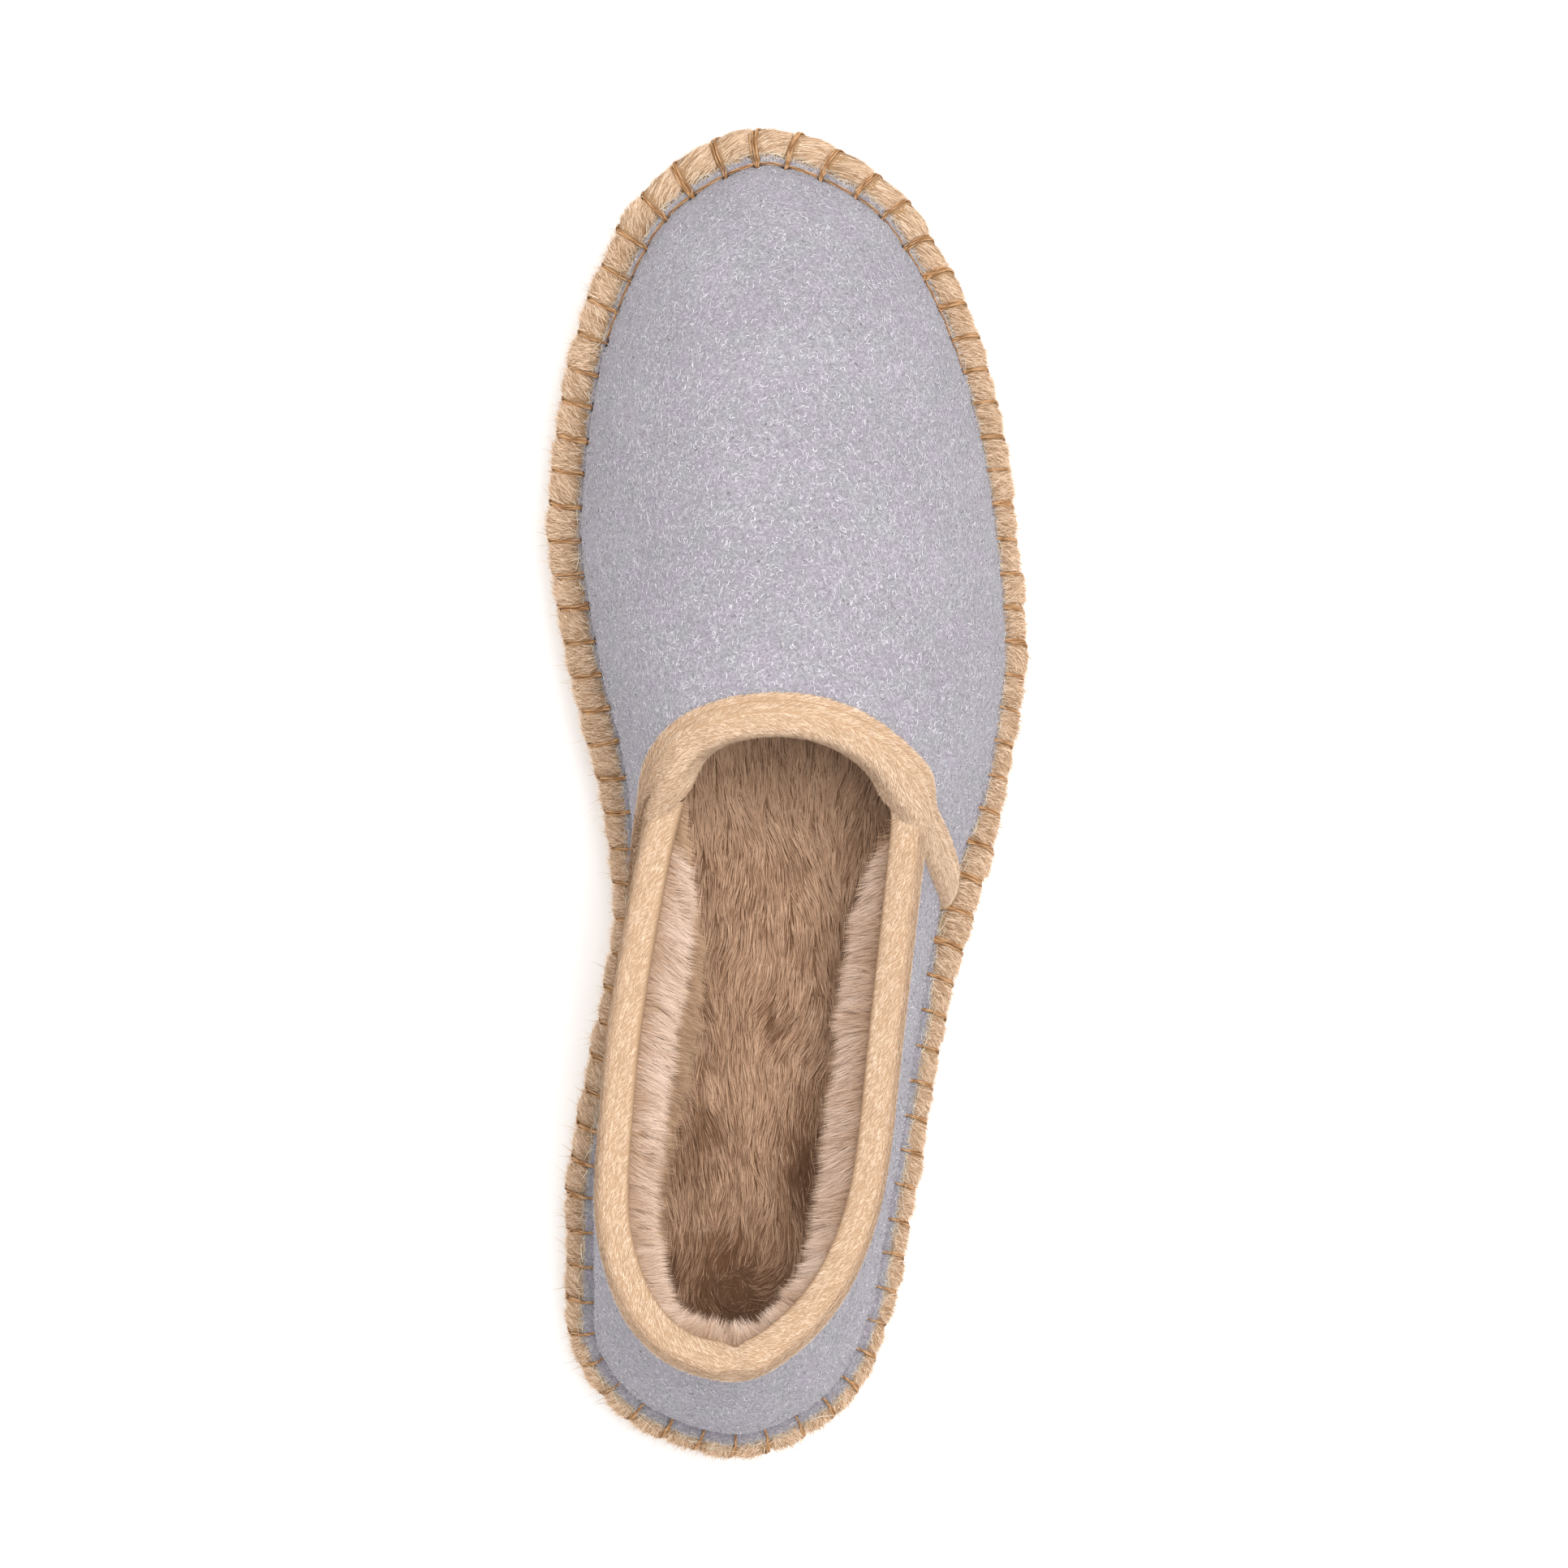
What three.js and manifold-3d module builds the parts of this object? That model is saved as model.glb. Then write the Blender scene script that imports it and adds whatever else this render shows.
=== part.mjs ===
// A fur-lined espadrille slipper for the right foot: suede upper with a vamp lapped over the quarter,
// bound with folded tape, standing on a plaited jute sole with a thin rubber outsole.
//
// Frame: millimetres, +Z up, +Y towards the toe, +X towards the outer (little-toe) side.
// The origin is on the floor, under the middle of the sole's bounding box.
import * as THREE from "three";
import { mergeVertices } from "three/addons/utils/BufferGeometryUtils.js";
import Module from "manifold-3d";

const wasm = await Module();
wasm.setup();

// Driving sizes
const SOLE_LENGTH = 280;
const BALL_WIDTH = 100;
const INSTEP_HEIGHT = 52; // sole top to the middle of the throat
const HEEL_HEIGHT = 46; // sole top to the topline at the back of the heel

// Sole
const RUBBER_THICKNESS = 3.5;
const RUBBER_INSET = 1.2; // the rubber's edge lies this far inside the jute's widest line
const JUTE_HEIGHT = 16.5;
const TOE_SPRING = 4; // lift of the sole under the tip of the toe
const TOE_SPRING_START = 0.7; // share of the length where the sole begins to lift
const AXIS_ACROSS = -0.06; // the long axis, as a share of the ball width
const SPINE_STATIONS = 24; // steps along the long axis that the sole's faces are filled from
const STITCH_PITCH = 7.4; // one plait bulge for each blanket stitch, along the sides
const TOE_PITCH_EXTRA = 0.27; // the stitches spread at the toe and the heel, as shares of the pitch
const HEEL_PITCH_EXTRA = 0.08;
const TOE_SPREAD_START = 0.86; // share of the length where they begin to spread towards the toe
const TOE_SPREAD_OVER = 0.12; // shares of the length over which they spread
const HEEL_SPREAD_OVER = 0.08;
const PLAIT_RELIEF = 1.3; // depth of the dent between two plait bulges
const SHOULDER_ROUND = 1.8; // how far the plait's top edge rounds in
const PLAIT_CREASE = 0.9; // depth of the groove between the two plaits of the side
const SHOULDER_INSET = 0.4; // how far the upper plait already lies in below the shoulder

// Upper
const LEDGE = 6; // sole edge to the seam at the foot of the upper
const FLANGE = 2.4; // the upper's foot, turned out beyond the seam
const UPPER_WALL = 2;
const VAMP_LAP = 1; // step where the vamp laps over the quarter
const BULGE = 4; // outward swell that the ribs' bulge shares follow

// Lining and footbed
const LINING_EDGE = 1.6; // thickness of the pile where the tape presses it flat
const PRESSED = 7; // how far down the rib it is pressed
const QUARTER_PILE = 10.5;
const VAMP_PILE = 4.5;
const PILE_FADE = 0.6; // rows behind the vamp's edge where the pile begins to thin
const FOOTBED_THICKNESS = 6;
const FOOTBED_INSET = 0.7; // slack between the footbed and the upper's wall
const LOCK_LENGTH = 10; // fur locks that stand out of the pile
const LOCK_WIDTH = 7;
const LOCK_ROOT = 1.6; // how deep a lock's root is sunk in the pile
const LOCKS_CLEAR = 0.3; // rows between the vamp's edge and the nearest lock
const LOCKS_ROUND = 24; // locks in each row round the quarter's lining
// Rows of the lining's locks. down: how far below the tape they start, as a share of the pile.
// lean: how far they stand out of the pile. shift: stagger, as a share of their pitch.
const LINING_LOCKS = [
  { down: 0.45, lean: 0.45, shift: 0.25 },
  { down: 1.3, lean: 0.35, shift: 0.75 },
];
// Locks of the footbed, in shares of the length (from, to) and of the ball width (middle, halfWidth)
const FOOTBED_LOCKS = { rows: 8, perRow: 3, from: 0.15, to: 0.55, middle: -0.06, halfWidth: 0.12 };

// Binding tape
const TAPE = 1.1;
const VAMP_TAPE_WIDTH = 8.5; // round the throat
const STRAP_WIDTH = 9.5; // down the sides, measured level
const COLLAR_TAPE_OUTER = 6.5; // how far the tape reaches down outside and inside
const COLLAR_TAPE_INNER = 4.5;
const TAPE_PUFF = 0.5; // crown of the tape between its edges
const TAPE_SHOULDER = 0.5; // how far down the rib the tape begins to turn over the rim
const FOLD_SLACK = 0.4; // the throat's tape bridges the curve under it by this much
const TAPE_FOOT = 0.06; // where the vamp's tape starts, as a share of the rib's curve from the sole
const STRAP_SECTIONS = 8; // steps up each side

const GAP = 0.3; // clearance between pieces that touch

// One row for each rib of the last, from the heel back along the inner side, round the toe and back.
// along, topAlong: shares of the length from the heel. across, topAcross: shares of the ball width
// from the long axis, inner side negative. ledge, flange, bulge: shares of LEDGE, FLANGE and BULGE.
// ofHeel, ofInstep: height of the topline as shares of the two heights. rise and drop: how long the
// rib leaves the foot and reaches the topline upright, as shares of its height. reach: how far it
// runs level at the top, as a share of its plan length.
const COLUMNS = [
  "along", "across", "ledge", "flange", "topAlong", "topAcross", "ofHeel", "ofInstep", "bulge", "rise", "drop",
  "reach",
];
const RIBS = [
  [0.0, -0.113, 0.92, 1.0, 0.0845, -0.121, 1.0, 0.0, 0.3, 0.4, 0.36, 0.3], // heel back
  [0.03, -0.345, 0.92, 1.0, 0.093, -0.235, 0.985, 0.0, 0.3, 0.4, 0.36, 0.3],
  [0.1, -0.465, 0.95, 1.0, 0.1336, -0.348, 0.94, 0.0, 0.35, 0.4, 0.36, 0.3],
  [0.19, -0.466, 1.0, 0.9, 0.205, -0.396, 0.88, 0.0, 0.4, 0.4, 0.36, 0.3],
  [0.3, -0.415, 1.0, 0.9, 0.31, -0.377, 0.7, 0.12, 0.4, 0.4, 0.34, 0.3],
  [0.415, -0.366, 1.0, 0.8, 0.484, -0.293, 0.41, 0.36, 0.4, 0.42, 0.3, 0.26], // inner end of the vamp's edge
  [0.51, -0.4, 1.05, 0.4, 0.505, -0.27, 0.23, 0.62, 0.35, 0.45, 0.16, 0.42],
  [0.61, -0.472, 1.1, 0.2, 0.52, -0.23, 0.09, 0.815, 0.3, 0.46, 0.13, 0.42],
  [0.7, -0.503, 1.1, 0.2, 0.531, -0.182, 0.0, 0.938, 0.3, 0.46, 0.09, 0.44],
  [0.8, -0.477, 1.12, 0.2, 0.5365, -0.136, 0.0, 0.968, 0.3, 0.45, 0.07, 0.46],
  [0.89, -0.404, 1.2, 0.5, 0.5395, -0.096, 0.0, 0.987, 0.25, 0.44, 0.06, 0.49],
  [0.96, -0.285, 1.3, 0.9, 0.5405, -0.06, 0.0, 0.997, 0.2, 0.44, 0.06, 0.5],
  [1.0, -0.05, 1.35, 1.0, 0.5405, -0.025, 0.0, 1.0, 0.2, 0.44, 0.06, 0.5], // tip of the toe
  [0.965, 0.198, 1.25, 0.9, 0.5393, 0.01, 0.0, 0.997, 0.25, 0.44, 0.06, 0.5],
  [0.9, 0.334, 1.1, 0.5, 0.5357, 0.048, 0.0, 0.987, 0.35, 0.44, 0.06, 0.49],
  [0.8, 0.437, 0.95, 0.2, 0.5295, 0.092, 0.0, 0.965, 0.45, 0.45, 0.07, 0.46],
  [0.7, 0.484, 0.88, 0.2, 0.5195, 0.136, 0.0, 0.93, 0.55, 0.46, 0.09, 0.44],
  [0.61, 0.503, 0.88, 0.2, 0.508, 0.178, 0.09, 0.805, 0.55, 0.46, 0.12, 0.42],
  [0.52, 0.468, 0.88, 0.4, 0.4965, 0.211, 0.23, 0.61, 0.5, 0.45, 0.16, 0.4],
  [0.412, 0.396, 1.4, 0.4, 0.479, 0.243, 0.41, 0.36, 0.45, 0.42, 0.28, 0.28], // outer end of the vamp's edge
  [0.32, 0.325, 1.0, 0.9, 0.333, 0.2, 0.7, 0.12, 0.4, 0.4, 0.34, 0.3],
  [0.2, 0.268, 0.95, 0.9, 0.215, 0.16, 0.88, 0.0, 0.4, 0.4, 0.36, 0.3],
  [0.1, 0.213, 0.92, 1.0, 0.15, 0.093, 0.94, 0.0, 0.35, 0.4, 0.36, 0.3],
  [0.035, 0.113, 0.92, 1.0, 0.108, -0.005, 0.985, 0.0, 0.3, 0.4, 0.36, 0.3],
];
const VAMP_START = 5; // the rows that hold the vamp's rear edge
const VAMP_END = 19;
const LAP_FADE = 1.6; // rows over which the lapped step thins out
const STEP_WIDTH = 0.03; // rows taken by the face of the step
const CORNER_ROWS = 2; // rows at each end of the throat where its tape turns fast and has more sections
const NUDGE = 0.02; // small step in rows, or in shares of a rib, for directions and walks
const NORMAL_ROWS = 0.2; // rows to each side that a face normal is taken over
const RIB_STEPS = 48; // steps down a rib when distances along it are measured

const { hypot, max, min, PI, round, sin } = Math;
const lerp = (a, b, t) => a + (b - a) * t;
const clamp01 = (t) => min(1, max(0, t));
const smooth = (t) => clamp01(t) ** 2 * (3 - 2 * clamp01(t));
const add = (p, q, scale = 1) => [p[0] + q[0] * scale, p[1] + q[1] * scale, p[2] + q[2] * scale];
const minus = (p, q) => add(p, q, -1);
const unit = (p) => {
  const length = hypot(...p);
  return [p[0] / length, p[1] / length, p[2] / length];
};
const cross = (p, q) => [p[1] * q[2] - p[2] * q[1], p[2] * q[0] - p[0] * q[2], p[0] * q[1] - p[1] * q[0]];

// Slope of a curve where it passes from one step to the next. It never overshoots between rows.
const slopeBetween = (a, b) => (a * b > 0 ? (2 * a * b) / (a + b) : 0);

// A column of the rib table at any place u round the last, on a closed curve through its rows
function column(name, u) {
  const k = COLUMNS.indexOf(name);
  const i = Math.floor(u);
  const f = u - i;
  const [a, b, c, d] = [-1, 0, 1, 2].map((j) => RIBS[(i + j + 2 * RIBS.length) % RIBS.length][k]);
  const [leave, arrive] = [slopeBetween(b - a, c - b), slopeBetween(c - b, d - c)];
  return b + f * (leave + f * (3 * (c - b) - 2 * leave - arrive + f * (leave + arrive - 2 * (c - b))));
}

// Sole: the plan outline, its outward direction and the height of its faces
const soleY = (along) => (along - 0.5) * SOLE_LENGTH;
const edgePoint = (u) => [column("across", u) * BALL_WIDTH, soleY(column("along", u)), 0];

function edgeOutward(u) {
  const tangent = unit(minus(edgePoint(u + NUDGE), edgePoint(u - NUDGE)));
  return [-tangent[1], tangent[0], 0];
}

const edgeInset = (u, inset) => add(edgePoint(u), edgeOutward(u), -inset);

function springAt(y) {
  const share = clamp01((y / SOLE_LENGTH + 0.5 - TOE_SPRING_START) / (1 - TOE_SPRING_START));
  return TOE_SPRING * share ** 2;
}

const SOLE_TOP = RUBBER_THICKNESS + JUTE_HEIGHT;
const soleTopAt = (y) => SOLE_TOP + springAt(y);

// Last: each rib runs from the seam on the sole up to the topline or, on the vamp, to the throat
const outer = (u) => {
  const foot = edgeInset(u, column("ledge", u) * LEDGE);
  foot[2] = soleTopAt(foot[1]) + GAP;
  const height = column("ofHeel", u) * HEEL_HEIGHT + column("ofInstep", u) * INSTEP_HEIGHT;
  const top = [column("topAcross", u) * BALL_WIDTH, soleY(column("topAlong", u)), SOLE_TOP + height];
  const low = add(foot, edgeOutward(u), column("bulge", u) * BULGE);
  low[2] += column("rise", u) * height;
  const reach = column("reach", u);
  const high = [0, 1].map((k) => lerp(top[k], foot[k], reach));
  high[2] = top[2] - column("drop", u) * height;
  return [foot, low, high, top];
};

// A point of the last's outer face: v runs from 0 at the seam to 1 at the topline.
function facePoint(u, v) {
  const [a, b, c, d] = outer(u);
  const w = 1 - v;
  const weights = [w ** 3, 3 * w * w * v, 3 * w * v * v, v ** 3];
  return [0, 1, 2].map((k) => weights[0] * a[k] + weights[1] * b[k] + weights[2] * c[k] + weights[3] * d[k]);
}

function faceNormal(u, v) {
  const along = minus(facePoint(u + NORMAL_ROWS, v), facePoint(u - NORMAL_ROWS, v));
  const up = minus(facePoint(u, min(1, v + NUDGE)), facePoint(u, max(0, v - NUDGE)));
  return unit(cross(up, along));
}

const shell = (u, v, out) => add(facePoint(u, v), faceNormal(u, v), out);

// v of the place a given distance down the rib from its top
function vFromTop(u, distance) {
  let left = distance;
  let previous = facePoint(u, 1);
  const step = 1 / RIB_STEPS;
  for (let v = 1 - step; v > 0; v -= step) {
    const point = facePoint(u, v);
    const length = hypot(...minus(point, previous));
    if (length >= left) return v + step * (1 - left / length);
    left -= length;
    previous = point;
  }
  return 0;
}

// The point a given depth under the last's face that lies a given height above the sole's top. It is
// searched for by halving the lower half of the rib.
function footPoint(u, height, depth) {
  let [low, high] = [0, 0.5];
  for (let halving = 0; halving < 20; halving += 1) {
    const v = (low + high) / 2;
    const point = shell(u, v, -depth);
    if (point[2] < soleTopAt(point[1]) + height) low = v;
    else high = v;
  }
  const point = shell(u, low, -depth);
  point[2] = soleTopAt(point[1]) + height;
  return point;
}

// The grid that all shells of the last share: places round it, as rows of the table, and levels
const PLACES_PER_RIB = 3;
const PLACES = Array.from({ length: RIBS.length * PLACES_PER_RIB }, (_, i) => i / PLACES_PER_RIB);
const LEVELS = [0.12, 0.25, 0.4, 0.55, 0.7, 0.85];
const steps = (from, to, count) => Array.from({ length: count + 1 }, (_, i) => lerp(from, to, i / count));

// Rows from the nearer end of the vamp's rear edge, negative on the quarter
const vampDepth = (u) => min(u - VAMP_START, VAMP_END - u);
const isVamp = (u) => vampDepth(u) > 0;

// How far the vamp's outer face stands proud where it laps over the quarter
const lapAt = (u) => VAMP_LAP * (1 - smooth((vampDepth(u) - STEP_WIDTH) / LAP_FADE));

// Mesh helpers
function geometryOf(points, triangles) {
  const geometry = new THREE.BufferGeometry();
  geometry.setAttribute("position", new THREE.Float32BufferAttribute(points.flat(), 3));
  geometry.setIndex(triangles);
  return geometry;
}

// Triangles that join a list of rings, all with n points, each to the next
function bands(rings, n, closed) {
  const triangles = [];
  const count = closed ? rings : rings - 1;
  for (let i = 0; i < count; i += 1) {
    const next = (i + 1) % rings;
    for (let j = 0; j < n; j += 1) {
      const [a, b] = [i * n + j, i * n + ((j + 1) % n)];
      const [c, d] = [next * n + j, next * n + ((j + 1) % n)];
      triangles.push(a, c, b, b, c, d);
    }
  }
  return triangles;
}

const ringLoft = (rings) => geometryOf(rings.flat(), bands(rings.length, rings[0].length, true));

// A tube of rings with both ends filled. The two end rings have one shape, so one filling fits both.
function endedLoft(rings) {
  const n = rings[0].length;
  const triangles = bands(rings.length, n, false);
  const last = (rings.length - 1) * n;
  const points = rings.flat();
  const faces = THREE.ShapeUtils.triangulateShape(flatten(rings[0]), []);
  for (const [a, b, c] of faces) triangles.push(a, b, c, last + a, last + c, last + b);
  return geometryOf(points, triangles);
}

// A ring's points seen along its own normal
function flatten(ring) {
  let normal = [0, 0, 0];
  ring.forEach((p, i) => {
    normal = add(normal, cross(minus(p, ring[0]), minus(ring[(i + 1) % ring.length], ring[0])));
  });
  const facing = new THREE.Quaternion().setFromUnitVectors(
    new THREE.Vector3(...unit(normal)),
    new THREE.Vector3(0, 0, 1),
  );
  return ring.map((p) => {
    const q = new THREE.Vector3(...p).applyQuaternion(facing);
    return new THREE.Vector2(q.x, q.y);
  });
}

// A slab between outlines stacked from its underside to its top. Both faces are filled out from
// stations on the long axis, so that they follow the toe spring.
function slab(rings, lowAt, highAt) {
  const n = rings[0].length;
  const points = rings.flat();
  const triangles = bands(rings.length, n, false);
  const face = (ring, heightAt, turned) => {
    const first = points.length;
    const along = rings[ring].map((p) => p[1]);
    const axis = steps(min(...along), max(...along), SPINE_STATIONS).slice(1, -1);
    for (const y of axis) points.push([AXIS_ACROSS * BALL_WIDTH, y, heightAt(y)]);
    const station = (p) => round(clamp01((p[1] - axis[0]) / (axis.at(-1) - axis[0])) * (axis.length - 1));
    const put = (a, b, c) => triangles.push(a, turned ? c : b, turned ? b : c);
    for (let j = 0; j < n; j += 1) {
      const [a, b] = [ring * n + j, ring * n + ((j + 1) % n)];
      let [at, goal] = [station(points[a]), station(points[b])];
      put(a, b, first + at);
      while (at !== goal) {
        const next = at + Math.sign(goal - at);
        put(first + at, b, first + next);
        at = next;
      }
    }
  };
  face(0, lowAt, false);
  face(rings.length - 1, highAt, true);
  return solid(geometryOf(points, triangles));
}

// A closed mesh as a solid, turned the right way out
function solid(geometry) {
  const bare = geometry.clone();
  for (const name of ["normal", "uv"]) bare.deleteAttribute(name);
  const merged = mergeVertices(bare, 1e-4);
  const build = (triangles) =>
    new wasm.Manifold(
      new wasm.Mesh({
        numProp: 3,
        vertProperties: new Float32Array(merged.attributes.position.array),
        triVerts: new Uint32Array(triangles),
      }),
    );
  const made = build(merged.index.array);
  return made.volume() > 0 ? made : build(Array.from(merged.index.array).reverse());
}

function meshOf(name, made, material) {
  const { vertProperties, triVerts } = made.getMesh();
  const geometry = new THREE.BufferGeometry();
  geometry.setAttribute("position", new THREE.BufferAttribute(new Float32Array(vertProperties), 3));
  geometry.setIndex(new THREE.BufferAttribute(new Uint32Array(triVerts), 1));
  geometry.computeVertexNormals();
  const mesh = new THREE.Mesh(geometry, material);
  mesh.name = name;
  return mesh;
}

// Places of the blanket stitches round the edge, as rows of the table
function stitchPlaces() {
  const samples = steps(0, RIBS.length, RIBS.length * RIB_STEPS);
  const weights = [0];
  for (let i = 1; i < samples.length; i += 1) {
    const [from, to] = [samples[i - 1], samples[i]];
    const along = column("along", (from + to) / 2);
    const toeSpread = TOE_PITCH_EXTRA * smooth((along - TOE_SPREAD_START) / TOE_SPREAD_OVER);
    const heelSpread = HEEL_PITCH_EXTRA * smooth((HEEL_SPREAD_OVER - along) / HEEL_SPREAD_OVER);
    const length = hypot(...minus(edgePoint(to), edgePoint(from)));
    weights.push(weights[i - 1] + length / (STITCH_PITCH * (1 + toeSpread + heelSpread)));
  }
  const total = weights.at(-1);
  const count = round(total);
  let i = 0;
  return Array.from({ length: count }, (_, stitch) => {
    const wanted = (stitch / count) * total;
    while (weights[i + 1] < wanted) i += 1;
    return lerp(samples[i], samples[i + 1], (wanted - weights[i]) / (weights[i + 1] - weights[i]));
  });
}

// Courses of the plaited side, from the underside up. height: share of JUTE_HEIGHT. inset: how far
// the course lies inside the sole's edge. bulge: how much of a cell's bulge it shows. slant: how far
// the cell leans along the edge, as a share of its pitch.
const COURSES = [
  { height: 0, inset: RUBBER_INSET, bulge: 0.3, slant: 0 },
  { height: 0.22, inset: 0, bulge: 1, slant: -0.2 },
  { height: 0.46, inset: PLAIT_CREASE, bulge: 0.5, slant: 0 },
  { height: 0.7, inset: 0, bulge: 1, slant: 0.2 },
  { height: 0.9, inset: SHOULDER_INSET, bulge: 0.9, slant: 0.1 },
  { height: 1, inset: SHOULDER_ROUND, bulge: 0.5, slant: 0 },
];
const CELL_SHARES = [0, 0.3, 0.7]; // places within a cell: its dent, then the two sides of its bulge

function makeJuteSole() {
  const places = stitchPlaces();
  const rings = COURSES.map(({ height, inset, bulge, slant }) =>
    places.flatMap((place, i) => {
      const next = i + 1 < places.length ? places[i + 1] : places[0] + RIBS.length;
      return CELL_SHARES.map((share) => {
        const dent = PLAIT_RELIEF * (1 - bulge * sin(PI * share) ** 0.5);
        const point = edgeInset(lerp(place, next, share + slant), inset + dent);
        point[2] = springAt(point[1]) + lerp(RUBBER_THICKNESS, SOLE_TOP, height);
        return point;
      });
    }),
  );
  return slab(rings, (y) => springAt(y) + RUBBER_THICKNESS, soleTopAt);
}

function makeRubberOutsole() {
  const outline = (height) =>
    PLACES.map((u) => {
      const point = edgeInset(u, RUBBER_INSET);
      point[2] = springAt(point[1]) + height;
      return point;
    });
  const top = RUBBER_THICKNESS - GAP;
  return slab([outline(0), outline(top)], springAt, (y) => springAt(y) + top);
}

// The suede upper: one closed wall, with its foot turned out on the sole and the vamp's lapped step
function makeUpper() {
  const places = PLACES.flatMap((u) => {
    if (u === VAMP_START) return [u, u + STEP_WIDTH];
    return u === VAMP_END ? [u - STEP_WIDTH, u] : [u];
  });
  const rings = places.map((u) => {
    const out = isVamp(u) ? lapAt(u) : 0;
    const [foot, outward] = [facePoint(u, 0), edgeOutward(u)];
    const flangeLow = add(foot, outward, column("flange", u) * FLANGE + out);
    flangeLow[2] = soleTopAt(flangeLow[1]) + GAP;
    const flangeHigh = add(flangeLow, [0, 0, UPPER_WALL]);
    const seam = add(foot, outward, out);
    seam[2] += UPPER_WALL;
    const outside = [...LEVELS, 1].map((v) => shell(u, v, out));
    const inside = [1, ...LEVELS.toReversed()].map((v) => shell(u, v, -UPPER_WALL));
    return [flangeLow, flangeHigh, seam, ...outside, ...inside, add(foot, outward, -UPPER_WALL)];
  });
  return solid(ringLoft(rings));
}

const LINING_OUT = UPPER_WALL + GAP; // depth of the lining's outer face under the last's outer face
const FOOTBED_TOP = GAP + FOOTBED_THICKNESS; // above the sole's top

// A fur lock: a flat tuft from its root to its tip, wide across the given direction
function lock(root, tip, across) {
  const axis = unit(minus(tip, root));
  const flat = unit(cross(axis, across));
  const wide = cross(flat, axis);
  const base = [
    add(root, wide, LOCK_WIDTH / 2),
    add(root, flat, LOCK_WIDTH / 2),
    add(root, wide, -LOCK_WIDTH / 2),
  ];
  return solid(geometryOf([...base, tip], [0, 2, 1, 0, 1, 3, 1, 2, 3, 2, 0, 3]));
}

// Thickness of the pile: it thins towards the vamp
const pileAt = (u) => lerp(QUARTER_PILE, VAMP_PILE, smooth(vampDepth(u) + PILE_FADE));

// Levels of the lining's outer face and of its pile, as shares of the rib from the seam
const LINING_BACK = [0.85, 0.7, 0.4];
const LINING_FRONT = [0.25, 0.5];

// The fur lining inside the quarter and the vamp, pressed thin under the tape
function makeFurLining() {
  const rings = PLACES.map((u) => {
    const pile = pileAt(u);
    const [rim, edge, full] = [GAP, PRESSED, PRESSED + pile / 2].map((down) => vFromTop(u, down));
    const outside = [rim, ...LINING_BACK].map((v) => shell(u, v, -LINING_OUT));
    const inside = [...LINING_FRONT, full].map((v) => shell(u, v, -LINING_OUT - pile));
    return [
      ...outside,
      footPoint(u, FOOTBED_TOP + GAP, LINING_OUT),
      footPoint(u, FOOTBED_TOP + GAP, LINING_OUT + pile),
      ...inside,
      shell(u, edge, -LINING_OUT - LINING_EDGE),
      shell(u, rim, -LINING_OUT - LINING_EDGE),
    ];
  });
  let fur = solid(ringLoft(rings));
  const [from, to] = [VAMP_END + LOCKS_CLEAR, VAMP_START + RIBS.length - LOCKS_CLEAR];
  for (const { down, lean, shift } of LINING_LOCKS) {
    for (let i = 0; i < LOCKS_ROUND; i += 1) {
      const u = lerp(from, to, (i + shift) / LOCKS_ROUND);
      const v = vFromTop(u, PRESSED + down * QUARTER_PILE);
      const normal = faceNormal(u, v);
      const downRib = unit(minus(facePoint(u, v - NUDGE), facePoint(u, v)));
      const way = unit(add(downRib, normal, -lean));
      const root = add(shell(u, v, LOCK_ROOT - LINING_OUT - QUARTER_PILE), way, -LOCK_ROOT);
      fur = fur.add(lock(root, add(root, way, LOCK_LENGTH), normal));
    }
  }
  return fur;
}

// The fur footbed fills the foot of the upper. Its locks lie towards the heel, each swayed a little to
// one side. The row nearest the heel stands closer together.
function makeFootbed() {
  const heights = [GAP, FOOTBED_TOP / 2, FOOTBED_TOP];
  const rings = heights.map((height) =>
    PLACES.map((u) => footPoint(u, height, LINING_OUT + FOOTBED_INSET)),
  );
  let bed = slab(rings, (y) => soleTopAt(y) + GAP, (y) => soleTopAt(y) + FOOTBED_TOP);
  for (let row = 0; row < FOOTBED_LOCKS.rows; row += 1) {
    const along = lerp(FOOTBED_LOCKS.from, FOOTBED_LOCKS.to, row / (FOOTBED_LOCKS.rows - 1));
    const half = FOOTBED_LOCKS.halfWidth * (row === 0 ? 0.6 : 1);
    for (let i = 0; i < FOOTBED_LOCKS.perRow; i += 1) {
      const share = (i + 0.25 + 0.5 * (row % 2)) / FOOTBED_LOCKS.perRow;
      const across = FOOTBED_LOCKS.middle + lerp(-half, half, share);
      const root = [across * BALL_WIDTH, soleY(along), SOLE_TOP + FOOTBED_TOP - LOCK_ROOT];
      const way = unit([0.5 * sin(5 * row + 2 * i), -0.9, 0.45]);
      bed = bed.add(lock(root, add(root, way, LOCK_LENGTH), [0, 0, 1]));
    }
  }
  return bed;
}

// Place a given distance from an end of the vamp's rear edge, at the level v. Forwards is positive.
function acrossEdge(edge, v, distance) {
  const step = Math.sign(distance) * (edge === VAMP_START ? NUDGE : -NUDGE);
  let [u, left] = [edge, Math.abs(distance)];
  while (left > 0) {
    const length = hypot(...minus(facePoint(u + step, v), facePoint(u, v)));
    u += step * min(1, left / length);
    left -= length;
  }
  return u;
}

const RIM_GAP = 2 * GAP; // between an edge and the tape folded over it
const TAPE_REACH = TAPE + RIM_GAP; // how far folded tape stands past the edge that it covers

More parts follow.
